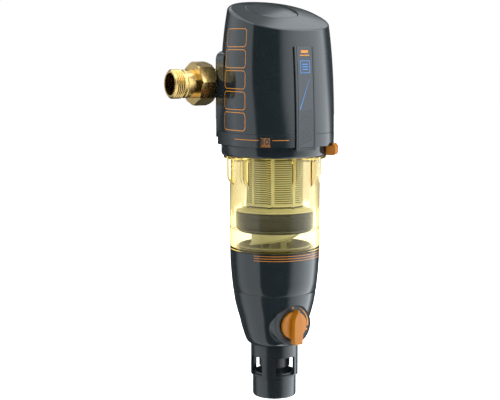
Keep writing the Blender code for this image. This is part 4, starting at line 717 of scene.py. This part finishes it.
def strip_lines(name, look, rows):
    """Printed lines on the label strip, made into one piece: start, end and both widths of each."""
    lines = [printed_line("line", start, end, widths, strip_point) for start, end, widths in rows]
    return dress(joined(name, lines), look, "hood")


class FILTER_OT_rail(bpy.types.Operator):
    """Builds the rail on the hood's front, its strip and the printed strokes on it."""

    bl_idname = "water_filter.rail"
    bl_label = "Rail and strip"

    def execute(self, context):
        inner = RAIL_HALF - RAIL_RIB
        strip_half = inner - FIT
        foot = RAIL_LOW + RAIL_FOOT
        rail = slab("rail_body", rail_outline(FIT, RAIL_PROUD, RAIL_LOW, RAIL_TOP),
                    -RAIL_HALF, RAIL_HALF, "X")
        pocket = slab("pocket", rail_outline(0.001, 0.012, foot, RAIL_TOP + 0.01),
                      -inner, inner, "X")
        strip = slab("strip_body", rail_outline(0.0013, RAIL_PROUD, foot + FIT, RAIL_TOP),
                     -strip_half, strip_half, "X")
        on_axis(rail, pocket, strip)
        carve(rail, pocket)
        bevelled(rail, 0.0007, 3)
        dress(rail, "anthracite", "hood", ["rail_frame"])
        dress(strip, "strip", "hood", ["label_strip"])
        strip_lines("blue_stroke", "blue",
                    [((-0.0078, -0.0262), (0.0052, 0.0075), (0.0011, 0.0003))])
        low, high, wide, side = 0.0135, 0.0265, 0.0060, 0.0057
        badge = [((-wide, low), (wide, low)), ((-wide, high), (wide, high)),
                 ((-side, low), (-side, high)), ((side, low), (side, high))]
        rows = [(start, end, (0.0008, 0.0008)) for start, end in badge]
        rows += [((-0.0036, level), (0.0036, level), (0.0012, 0.0012))
                 for level in (0.0172, 0.0200, 0.0228)]
        strip_lines("blue_badge", "blue", rows)
        strip_lines("orange_bars", "print",
                    [((-0.0045, 0.0365), (0.0045, 0.0365), (0.0028, 0.0028)),
                     ((-0.0060, 0.0325), (0.0060, 0.0325), (0.0010, 0.0010))])
        strip_lines("strip_hatching", "anthracite_satin",
                    [((-0.0078, level), (0.0078, level + 0.0046), (0.0009, 0.0009))
                     for level in [-0.0640 + 0.0024 * i for i in range(15)]])
        return {"FINISHED"}


def base_outline(inset):
    """The base ring's plan: the hood's front curve, two rear corners and a round back."""
    half = BASE_HALF - inset
    points = []
    for i in range(73):
        turn = math.pi * (i / 72 - 0.5)
        points.append(superellipse(turn, half, BASE_FRONT - inset, 2.5))
    back = EAR_BACK - inset
    corner = 0.004 - inset
    points += arc((half - corner, back - corner), corner, 0, 90, 6)
    meet = math.degrees(math.asin(back / half))
    points += arc((0, 0), half, meet, 180 - meet, 48)
    points += arc((corner - half, back - corner), corner, 90, 180, 6)
    return points


class FILTER_OT_base(bpy.types.Operator):
    """Builds the base ring with its window and the cover behind the hood."""

    bl_idname = "water_filter.base"
    bl_label = "Base ring"

    def execute(self, context):
        base = slab("base_body", base_outline(0.0), BASE_LOW, BASE_TOP)
        hollow = slab("hollow", base_outline(HOOD_WALL), BASE_LOW - 0.01, BASE_TOP - HOOD_WALL)
        on_axis(base, hollow)
        carve(base, hollow)
        carve(base, turned("hole", [(0, -40), (46.8, -40), (46.8, -70), (0, -70)]))
        middle = (BASE_TOP - HOOD_WALL + BASE_LOW) / 2
        half = 0.0053
        window = block("window", (-half, AXIS_Y - 0.080, middle - half),
                       (half, AXIS_Y - 0.060, middle + half))
        window.data.transform(about_axis(WINDOW_TURN))
        carve(base, window)
        bevelled(base, 0.0003, 2)
        dress(base, "anthracite", "frame", ["base_ring"])
        lens = refined("window_lens", "window_pane", edge=0.0003)
        dress(lens, "clear", "frame", ["window_lens"])
        cover = refined("rear_cover", "rear_plate", edge=0.0008)
        dress(cover, "anthracite", "hood", ["rear_cover"])
        return {"FINISHED"}


class FILTER_OT_month_dial(bpy.types.Operator):
    """Builds the month ring, its tab and the numbers on its band."""

    bl_idname = "water_filter.month_dial"
    bl_label = "Month dial"

    def execute(self, context):
        ring = turned("month_ring_body", [
            (60.6, -67.8), (61, -68.2), (61, -77.0), (60.6, -78.4), (59.7, -79.5), (58.5, -80.0),
            (56.8, -80.0), (56.8, -67.8)])
        dress(ring, "anthracite", "month_dial", ["month_ring"])
        band = refined("number_band", "month_band")
        dress(band, "print", "month_dial", ["number_band"])
        tab = refined("month_tab", "month_lug", edge=0.0009)
        dress(tab, "orange", "month_dial", ["month_tab"])
        digits = []
        for month in range(1, 13):
            clear_selection()
            bpy.ops.object.text_add(location=(0, 0, 0))
            text = bpy.context.object
            text.data.body = str(month)
            text.data.size = 0.0088
            text.data.align_x = "CENTER"
            text.data.align_y = "CENTER"
            text.data.extrude = 0.00010
            text.data.offset = 0.00030
            bpy.ops.object.convert(target="MESH")
            number = bpy.context.object
            stand = Matrix.Rotation(math.pi / 2, 4, "X")
            place = Matrix.Translation(AXIS + Vector((0, -0.05905, -0.0617)))
            number.data.transform(about_axis(10 * month - 141.5) @ place @ stand)
            digits.append(number)
        numbers = joined("month_numbers", digits)
        dress(numbers, "black", "month_dial")
        return {"FINISHED"}


class FILTER_OT_unions(bpy.types.Operator):
    """Builds the brass unions with their threads, and the connection piece."""

    bl_idname = "water_filter.unions"
    bl_label = "Unions"

    def execute(self, context):
        pitch = sizes().thread_pitch / MM
        for side, name, reach in ((-1, "inlet", 110.0), (1, "outlet", 95.0)):
            nut = refined(f"{name}_union_nut", f"{name}_nut", smooth=20, edge=0.0006)
            nut.data.transform(Matrix.Rotation(math.radians(22.5), 4, "X"))
            dress(nut, "brass", "frame", [f"{name}_union_nut"])
            shoulder = 82.0 + (reach - 82.0) * 3 / 7
            profile = [(12.6, reach), (14.6, reach), (15.2, reach - 0.5)]
            along = reach - 1.0
            while along - pitch > shoulder + 1.2:
                profile += [(15.25, along), (16.55, along - 0.42 * pitch),
                            (16.55, along - 0.54 * pitch)]
                along -= pitch
            profile += [(15.25, along), (15.25, shoulder + 0.2), (16.0, shoulder - 0.4),
                        (16.0, 79.7), (20.2, 79.7), (20.2, 76.3), (12.6, 76.3)]
            tail = turned(f"{name}_tail", profile, place=along_pipe(side), smooth=25)
            dress(tail, "brass", "frame", [f"{name}_tailpiece"])
        tee = refined("connection_tee", "connection_piece", edge=sizes().edge)
        dress(tee, "brass", "frame", ["connection_tee"])
        return {"FINISHED"}


class FILTER_OT_cup(bpy.types.Operator):
    """Builds the clear amber cup with its rim and grips."""

    bl_idname = "water_filter.cup"
    bl_label = "Cup"

    def execute(self, context):
        cup = turned("cup_body", [
            (50, -66.0), (50, -80.3), (58.0, -80.3), (58.4, -80.7), (58.4, -82.6), (58.0, -83.0),
            (51.5, -83.0), (51.3, -83.4), (51.3, -162.1), (50.85, -162.2), (50.85, -162.8),
            (51.3, -162.9), (51.3, -186.7), (45, -186.7), (45, -235), (40.2, -235), (40.2, -184.2),
            (45, -184.2), (45, -66.0)])
        root = 0.0485
        outline = [(-root, -0.0815), (-0.0577, -0.0815), (-0.0577, -0.1040), (-root, -0.1180)]
        first = slab("grip", outline, -0.0022, 0.0022, "X")
        on_axis(first)
        bevelled(first, 0.0006, 2)
        grips = [twin(first, "grip", about_axis(-7.5 + 30 * i)) for i in range(1, 12)]
        first.data.transform(about_axis(-7.5))
        carve(cup, joined("grips", [first, *grips]), "UNION")
        dress(cup, "amber", "frame", ["filter_cup"])
        # A thin dark ring over the groove, painted shade for the dark line the groove shows in the
        # clear cup.
        groove_shade = turned("cup_groove_shade", [(51.36, -162.1), (51.44, -162.2), (51.44, -162.8),
                                   (51.36, -162.9)])
        dress(groove_shade, "groove_shade", "frame")
        return {"FINISHED"}


class FILTER_OT_strainer(bpy.types.Operator):
    """Builds the strainer cage with its fine rings, its mesh and its collar."""

    bl_idname = "water_filter.strainer"
    bl_label = "Strainer"

    def execute(self, context):
        pieces = [turned("cage", [(31.6, -70), (32, -70.4), (32, -83), (28.3, -83), (28.3, -70)]),
                  turned("cage", [(32, -134), (32, -136), (28.3, -136), (28.3, -134)])]
        pitch = sizes().cage_pitch / MM
        level = -83 - pitch
        while level > -134:
            pieces.append(turned("cage", [(32, level + 0.6), (32, level - 0.6), (30.6, level - 0.3),
                                          (30.1, level), (30.6, level + 0.3)], steps=64))
            level -= pitch
        for i in range(8):
            rib = block("cage", (-0.0017, AXIS_Y - 0.0321, -0.1355),
                        (0.0017, AXIS_Y - 0.0298, -0.0705))
            rib.data.transform(about_axis(10 + 45 * i))
            pieces.append(rib)
        dress(joined("cage_body", pieces), "natural", "insert", ["strainer_cage"])
        sieve = turned("sieve", [(29.4, -83.3), (29.4, -133.7), (28.8, -133.7), (28.8, -83.3)])
        dress(sieve, "mesh", "insert", ["strainer_mesh"])
        collar = turned("collar_body", [
            (32.3, -137.7), (36, -138.6), (38.6, -140.2), (39, -141.0), (43.4, -141.2),
            (43.6, -141.4), (43.6, -142.7), (43.4, -142.9), (3.8, -142.9), (3.8, -137.7)])
        dress(collar, "natural", "insert", ["strainer_collar"])
        piston = turned("piston_body", [
            (44.3, -143.2), (44.7, -143.6), (44.7, -145.2), (42.7, -145.2), (42.7, -147.8),
            (44.7, -147.8), (44.7, -161.2), (44.4, -161.9), (40.4, -166.4), (40, -166.7),
            (19, -166.7), (19, -163.2), (39.7, -163.2), (39.7, -143.2)])
        dress(piston, "piston", "insert", ["backwash_piston"])
        drum = refined("guide_drum", "ramp_drum", edge=0.0003)
        dress(drum, "natural", "insert", ["guide_drum"])
        funnel = turned("funnel_body", [
            (41, -181.9), (41.3, -182.2), (41.3, -183.9), (39.9, -184.2), (39.9, -186.1),
            (24, -199.9), (24, -202.9), (19.7, -202.9), (19.7, -200.9), (22, -200.9), (22, -199.9)])
        dress(funnel, "funnel", "frame", ["sump_funnel"])
        cage = refined("outlet_cage", "outlet_posts", edge=0.0003)
        dress(cage, "funnel", "frame", ["outlet_cage"])
        return {"FINISHED"}


class FILTER_OT_lower_body(bpy.types.Operator):
    """Builds the shroud, the valve housing and the air gap outlet."""

    bl_idname = "water_filter.lower_body"
    bl_label = "Lower body"

    def execute(self, context):
        shroud = turned("shroud_body", [
            (50.6, -187.0), (51.2, -187.5), (50.9, -200), (50.1, -212), (49.0, -224), (47.8, -234.2),
            (47.3, -235.0), (45.3, -235.0), (45.3, -187.0)])
        dress(shroud, "anthracite", "frame", ["upper_shroud"])
        housing = turned("housing_body", [
            (35.9, -205.3), (39.9, -205.3), (39.9, -235.3), (47.0, -235.3), (47.4, -235.8),
            (46.6, -242), (45.4, -249), (43.2, -258), (40.5, -267), (37.7, -278.5), (34.9, -287.5),
            (33.2, -292.3), (31.6, -295.2), (29.6, -296.7), (28.6, -297), (15.5, -297),
            (15.5, -256.7), (9.3, -256.7), (9.3, -252.7), (35.9, -231.3)])
        boss = turned("boss", [(0, 40.3), (23.2, 40.3), (23.6, 40.0), (23.9, 39.2), (24.4, 35),
                               (25.3, 30), (26.0, 16), (0, 16)], place=along_valve())
        carve(housing, boss, "UNION")
        bore = turned("bore", [(0, 60), (23.3, 60), (23.3, 40.2), (22.3, 40.2), (22.3, 36.2),
                               (6.3, 36.2), (6.3, 10.6), (0, 10.6)], place=along_valve())
        carve(housing, bore)
        dress(housing, "anthracite", "frame", ["valve_housing"])
        neck = turned("neck_body", [
            (9.3, -283.3), (15.2, -283.3), (15.2, -297.3), (26.8, -297.3), (27.2, -297.7),
            (27.2, -333.7), (26.8, -334.1), (24.2, -334.1), (24.2, -300.3), (9.3, -300.3)])
        outer = arc((0, 0), 0.035, -117.5, -62.5, 8) + arc((0, 0), 0.0225, -62.5, -117.5, 8)
        first = slab("slot", outer, -0.3323, -0.3113)
        on_axis(first)
        bevelled(first, 0.0008, 2)
        slots = [twin(first, "slot", about_axis(90 * i)) for i in range(1, 4)]
        carve(neck, joined("slots", [first, *slots]))
        dress(neck, "anthracite_satin", "frame", ["air_gap_neck"])
        nozzle = turned("nozzle_body", [
            (9.3, -300.6), (17.3, -300.6), (17.7, -301), (17.7, -324.2), (17.3, -324.6),
            (15.5, -324.6), (15.5, -302.8), (9.3, -302.8)])
        dress(nozzle, "black", "frame", ["inner_nozzle"])
        spigot = turned("spigot_body", [
            (21.3, -330.5), (23.5, -330.5), (23.9, -330.9), (23.9, -334.4), (24.7, -334.4),
            (25, -334.7), (25, -357.0), (24.6, -358.2), (23.9, -359.0), (23.2, -359.3),
            (22.3, -359.3), (22.1, -359.0), (22.1, -337.0)])
        dress(spigot, "anthracite_satin", "frame", ["drain_spigot"])
        return {"FINISHED"}


def dial_mark(name, start, end, inner_start, outer, lift):
    """A printed arc on the dial ring, seen from the front, in degrees clockwise from the top."""
    steps = 20
    turns = [math.radians(start + (end - start) * i / steps) for i in range(steps + 1)]
    outline = [(outer * math.sin(turn), outer * math.cos(turn)) for turn in turns]
    for i in range(steps, -1, -1):
        inner = inner_start + (outer - 0.0003 - inner_start) * (1 - i / steps)
        outline.append((inner * math.sin(turns[i]), inner * math.cos(turns[i])))
    return slab(name, outline, lift, lift + 0.00005)


class FILTER_OT_knob(bpy.types.Operator):
    """Builds the orange drain knob, its dial ring and the scale on it."""

    bl_idname = "water_filter.knob"
    bl_label = "Drain knob"

    def execute(self, context):
        ring = turned("scale_ring", [(21.7, 40.1), (22.0, 39.8), (22.0, 36.5), (15.8, 36.5),
                                     (15.8, 39.8), (16.1, 40.1)], place=along_valve())
        dress(ring, "black", "frame", ["dial_ring"])
        sweep = dial_mark("mark", 22, 97, 0.0186, 0.0206, 0.04012)
        spots = [Vector((0.0192 * math.sin(turn), 0.0192 * math.cos(turn), 0))
                 for turn in (0.0, math.radians(110))]
        dots = [turned("mark", [(0, 40.17), (1.1, 40.17), (1.1, 40.12), (0, 40.12)], steps=24,
                       place=along_valve() @ Matrix.Translation(spot)) for spot in spots]
        sweep.data.transform(along_valve())
        dress(joined("scale_marks", [sweep, *dots]), "print", "frame")
        knob = turned("knob_body", [
            (0, 45.3), (14.2, 45.3), (15.1, 45.0), (15.6, 44.3), (15.7, 43.4), (15.7, 40.8),
            (15.3, 40.4), (0, 40.4)], place=along_valve())
        half = 0.0056
        right = [(half - 0.0004, -0.0204), (half, -0.012), (half, 0.003), (half - 0.0006, 0.0085),
                 (half - 0.0024, 0.0130)]
        left = [(-x, y) for x, y in reversed(right)]
        bar = slab("bar", [*right, (0.0005, 0.0186), (-0.0005, 0.0186), *left], 0.0445, 0.0533)
        bar.data.transform(along_valve())
        bevelled(bar, 0.0020, 4)
        carve(knob, bar, "UNION")
        bore = turned("bore", [(0, 51.9), (3.3, 51.9), (3.3, 45.6), (1.9, 45.6), (1.9, 45.0),
                               (4.3, 45.0), (4.3, 30), (0, 30)], steps=32, place=along_valve())
        carve(knob, bore)
        bevelled(knob, 0.0005, 2, 30)
        dress(knob, "orange", "knob", ["drain_knob"])
        return {"FINISHED"}


KEPT = {
    "head_body": "black", "head_cap": "black", "head_cap_seal": "rubber", "flange_gasket": "rubber",
    "flange_bolt_1": "steel", "flange_bolt_2": "steel", "flange_bolt_3": "steel",
    "flange_bolt_4": "steel", "inlet_gasket": "rubber", "outlet_gasket": "rubber",
    "cup_seal": "rubber", "strainer_seal": "rubber", "piston_seal": "rubber", "guide_rod": "steel",
    "return_spring": "steel", "spray_rotor": "black", "valve_ball": "steel",
    "upper_ball_seat": "seat", "lower_ball_seat": "seat", "valve_stem": "brass",
    "stem_seal": "rubber", "knob_screw": "steel",
}


class FILTER_OT_kept_solids(bpy.types.Operator):
    """Gives the solids that stay as they are their finishes."""

    bl_idname = "water_filter.kept_solids"
    bl_label = "Inner solids"

    def execute(self, context):
        for node, look in KEPT.items():
            solid = NODES[node]
            solid.data.materials.clear()
            solid.data.materials.append(LOOKS[look])
        return {"FINISHED"}


def math_node(tree, operation, first, second, clamp=False):
    """The result of a maths node between two values or sockets."""
    node = add_node(tree.nodes, "Math", operation=operation, use_clamp=clamp)
    for socket, value in zip(node.inputs, (first, second)):
        if isinstance(value, (int, float)):
            socket.default_value = value
        else:
            tree.links.new(value, socket)
    return node.outputs["Value"]


def map_node(tree, value, start, end, low, high, way="LINEAR"):
    """A value mapped from one range to another."""
    node = add_node(tree.nodes, "MapRange", {"From Min": start, "From Max": end, "To Min": low,
                                             "To Max": high}, interpolation_type=way)
    tree.links.new(value, node.inputs["Value"])
    return node.outputs["Result"]


def seen_white(tree):
    """One for rays from the camera, through clear plastic too, and none after they scatter."""
    path = add_node(tree.nodes, "LightPath")
    through = math_node(tree, "SUBTRACT", path.outputs["Is Transmission Ray"],
                        path.outputs["Diffuse Depth"], clamp=True)
    return math_node(tree, "MAXIMUM", path.outputs["Is Camera Ray"], through)


def studio_world():
    """A dim studio with a soft panel on the left, a wide one on the right and one above."""
    world = bpy.data.worlds.new("studio")
    bpy.context.scene.world = world
    world.use_nodes = True
    tree = world.node_tree
    nodes = tree.nodes
    place = add_node(nodes, "TexCoord")

    def dot(direction):
        node = add_node(nodes, "VectorMath", {1: direction}, operation="DOT_PRODUCT")
        tree.links.new(place.outputs["Generated"], node.inputs[0])
        return node.outputs["Value"]

    across = dot((0.866, -0.5, 0))
    towards = dot((-0.5, -0.866, 0))
    up = dot((0, 0, 1))
    turn = math_node(tree, "ARCTAN2", across, towards)
    share = math_node(tree, "ADD", math_node(tree, "DIVIDE", turn, 2 * math.pi),
                      map_node(tree, up, -0.12, 0.05, 0.5, 0.545))
    bands = add_ramp(nodes, [(position, (value, value, value)) for position, value in STUDIO_BANDS])
    around = math_node(tree, "MULTIPLY", bands.outputs["Color"], STUDIO_STRENGTH)
    height = map_node(tree, up, 0.445, 0.465, 0.0, 1.2, "SMOOTHSTEP")
    rear = map_node(tree, share, 1.0245, 1.0262, 1.0, 0.15)
    total = math_node(tree, "ADD", around, math_node(tree, "MULTIPLY", height, rear))
    back = nodes["Background"]
    back.inputs["Color"].default_value = STUDIO_TINT
    white = add_node(nodes, "Background", {"Color": (1, 1, 1, 1), "Strength": 1.0})
    mix = add_node(nodes, "MixShader")
    link_all(tree.links, (share, bands.inputs["Fac"]), (total, back.inputs["Strength"]),
             (seen_white(tree), mix.inputs["Fac"]), (back.outputs["Background"], mix.inputs[1]),
             (white.outputs["Background"], mix.inputs[2]),
             (mix.outputs["Shader"], nodes["World Output"].inputs["Surface"]))


def floor_material():
    """A pale floor that shows as white and keeps a faint shadow."""
    material, nodes, links = new_material("pale_floor")
    shader = nodes["Principled BSDF"]
    shader.inputs["Roughness"].default_value = 0.8
    place = add_node(nodes, "TexCoord")
    cloud = add_node(nodes, "TexNoise", {"Scale": 3.0})
    ramp = add_ramp(nodes, ((0.0, (0.84, 0.84, 0.84)), (1.0, (0.88, 0.88, 0.88))))
    glow = add_node(nodes, "Emission", {"Strength": FLOOR_GLOW})
    both = add_node(nodes, "AddShader")
    mix = add_node(nodes, "MixShader")
    link_all(links, (place.outputs["Object"], cloud.inputs["Vector"]),
             (cloud.outputs["Fac"], ramp.inputs["Fac"]),
             (ramp.outputs["Color"], shader.inputs["Base Color"]),
             (shader.outputs["BSDF"], both.inputs[0]), (glow.outputs["Emission"], both.inputs[1]),
             (seen_white(material.node_tree), mix.inputs["Fac"]),
             (shader.outputs["BSDF"], mix.inputs[1]), (both.outputs["Shader"], mix.inputs[2]),
             (mix.outputs["Shader"], nodes["Material Output"].inputs["Surface"]))
    return material


class FILTER_OT_stage(bpy.types.Operator):
    """Sets up the floor, the studio light and the camera."""

    bl_idname = "water_filter.stage"
    bl_label = "Stage"

    def execute(self, context):
        clear_selection()
        bpy.ops.mesh.primitive_plane_add(size=12, location=(0, 0, 0))
        floor = bpy.context.object
        floor.name = "floor"
        floor.data.transform(Matrix.Translation((0, 0, FLOOR_HEIGHT)))
        floor.data.materials.append(floor_material())
        floor.visible_glossy = False
        studio_world()
        bpy.ops.object.camera_add(location=(-0.7495, -1.2866, 0.049),
                                  rotation=(math.radians(82.87), 0, math.radians(-30)))
        camera = bpy.context.object
        camera.name = "camera"
        camera.data.sensor_width = 36
        camera.data.lens = 92.16
        camera.data.clip_start = 0.01
        bpy.context.scene.camera = camera
        bpy.context.scene.view_settings.view_transform = "Standard"
        return {"FINISHED"}


class FILTER_PT_panel(bpy.types.Panel):
    """Lists the sizes, the colours and the steps that build the filter."""

    bl_idname = "FILTER_PT_panel"
    bl_label = "Water Filter"
    bl_space_type = "VIEW_3D"
    bl_region_type = "UI"
    bl_category = "Water Filter"

    def draw(self, context):
        layout = self.layout
        for group in (sizes(), finishes()):
            for name in group.__annotations__:
                layout.prop(group, name)
        for operator in STEPS:
            layout.operator(operator.bl_idname)


STEPS = (FILTER_OT_kept_solids, FILTER_OT_hood, FILTER_OT_hood_print, FILTER_OT_rail,
         FILTER_OT_base, FILTER_OT_month_dial, FILTER_OT_unions, FILTER_OT_cup,
         FILTER_OT_strainer, FILTER_OT_lower_body, FILTER_OT_knob, FILTER_OT_stage)
CLASSES = (FilterSizes, FilterFinishes, *STEPS, FILTER_PT_panel)


def register():
    """Registers the classes and their settings."""
    for item in CLASSES:
        bpy.utils.register_class(item)
    bpy.types.Scene.filter_sizes = bpy.props.PointerProperty(type=FilterSizes)
    bpy.types.Scene.filter_finishes = bpy.props.PointerProperty(type=FilterFinishes)


def unregister():
    """Takes the classes and their settings away."""
    del bpy.types.Scene.filter_finishes
    del bpy.types.Scene.filter_sizes
    for item in reversed(CLASSES):
        bpy.utils.unregister_class(item)


def main():
    """Registers the add-on and builds every piece in order."""
    register()
    LOOKS.update(make_finishes())
    bpy.ops.water_filter.kept_solids()
    bpy.ops.water_filter.hood()
    bpy.ops.water_filter.hood_print()
    bpy.ops.water_filter.rail()
    bpy.ops.water_filter.base()
    bpy.ops.water_filter.month_dial()
    bpy.ops.water_filter.unions()
    bpy.ops.water_filter.cup()
    bpy.ops.water_filter.strainer()
    bpy.ops.water_filter.lower_body()
    bpy.ops.water_filter.knob()
    bpy.ops.water_filter.stage()
    clear_selection()


if __name__ == "__main__":
    main()
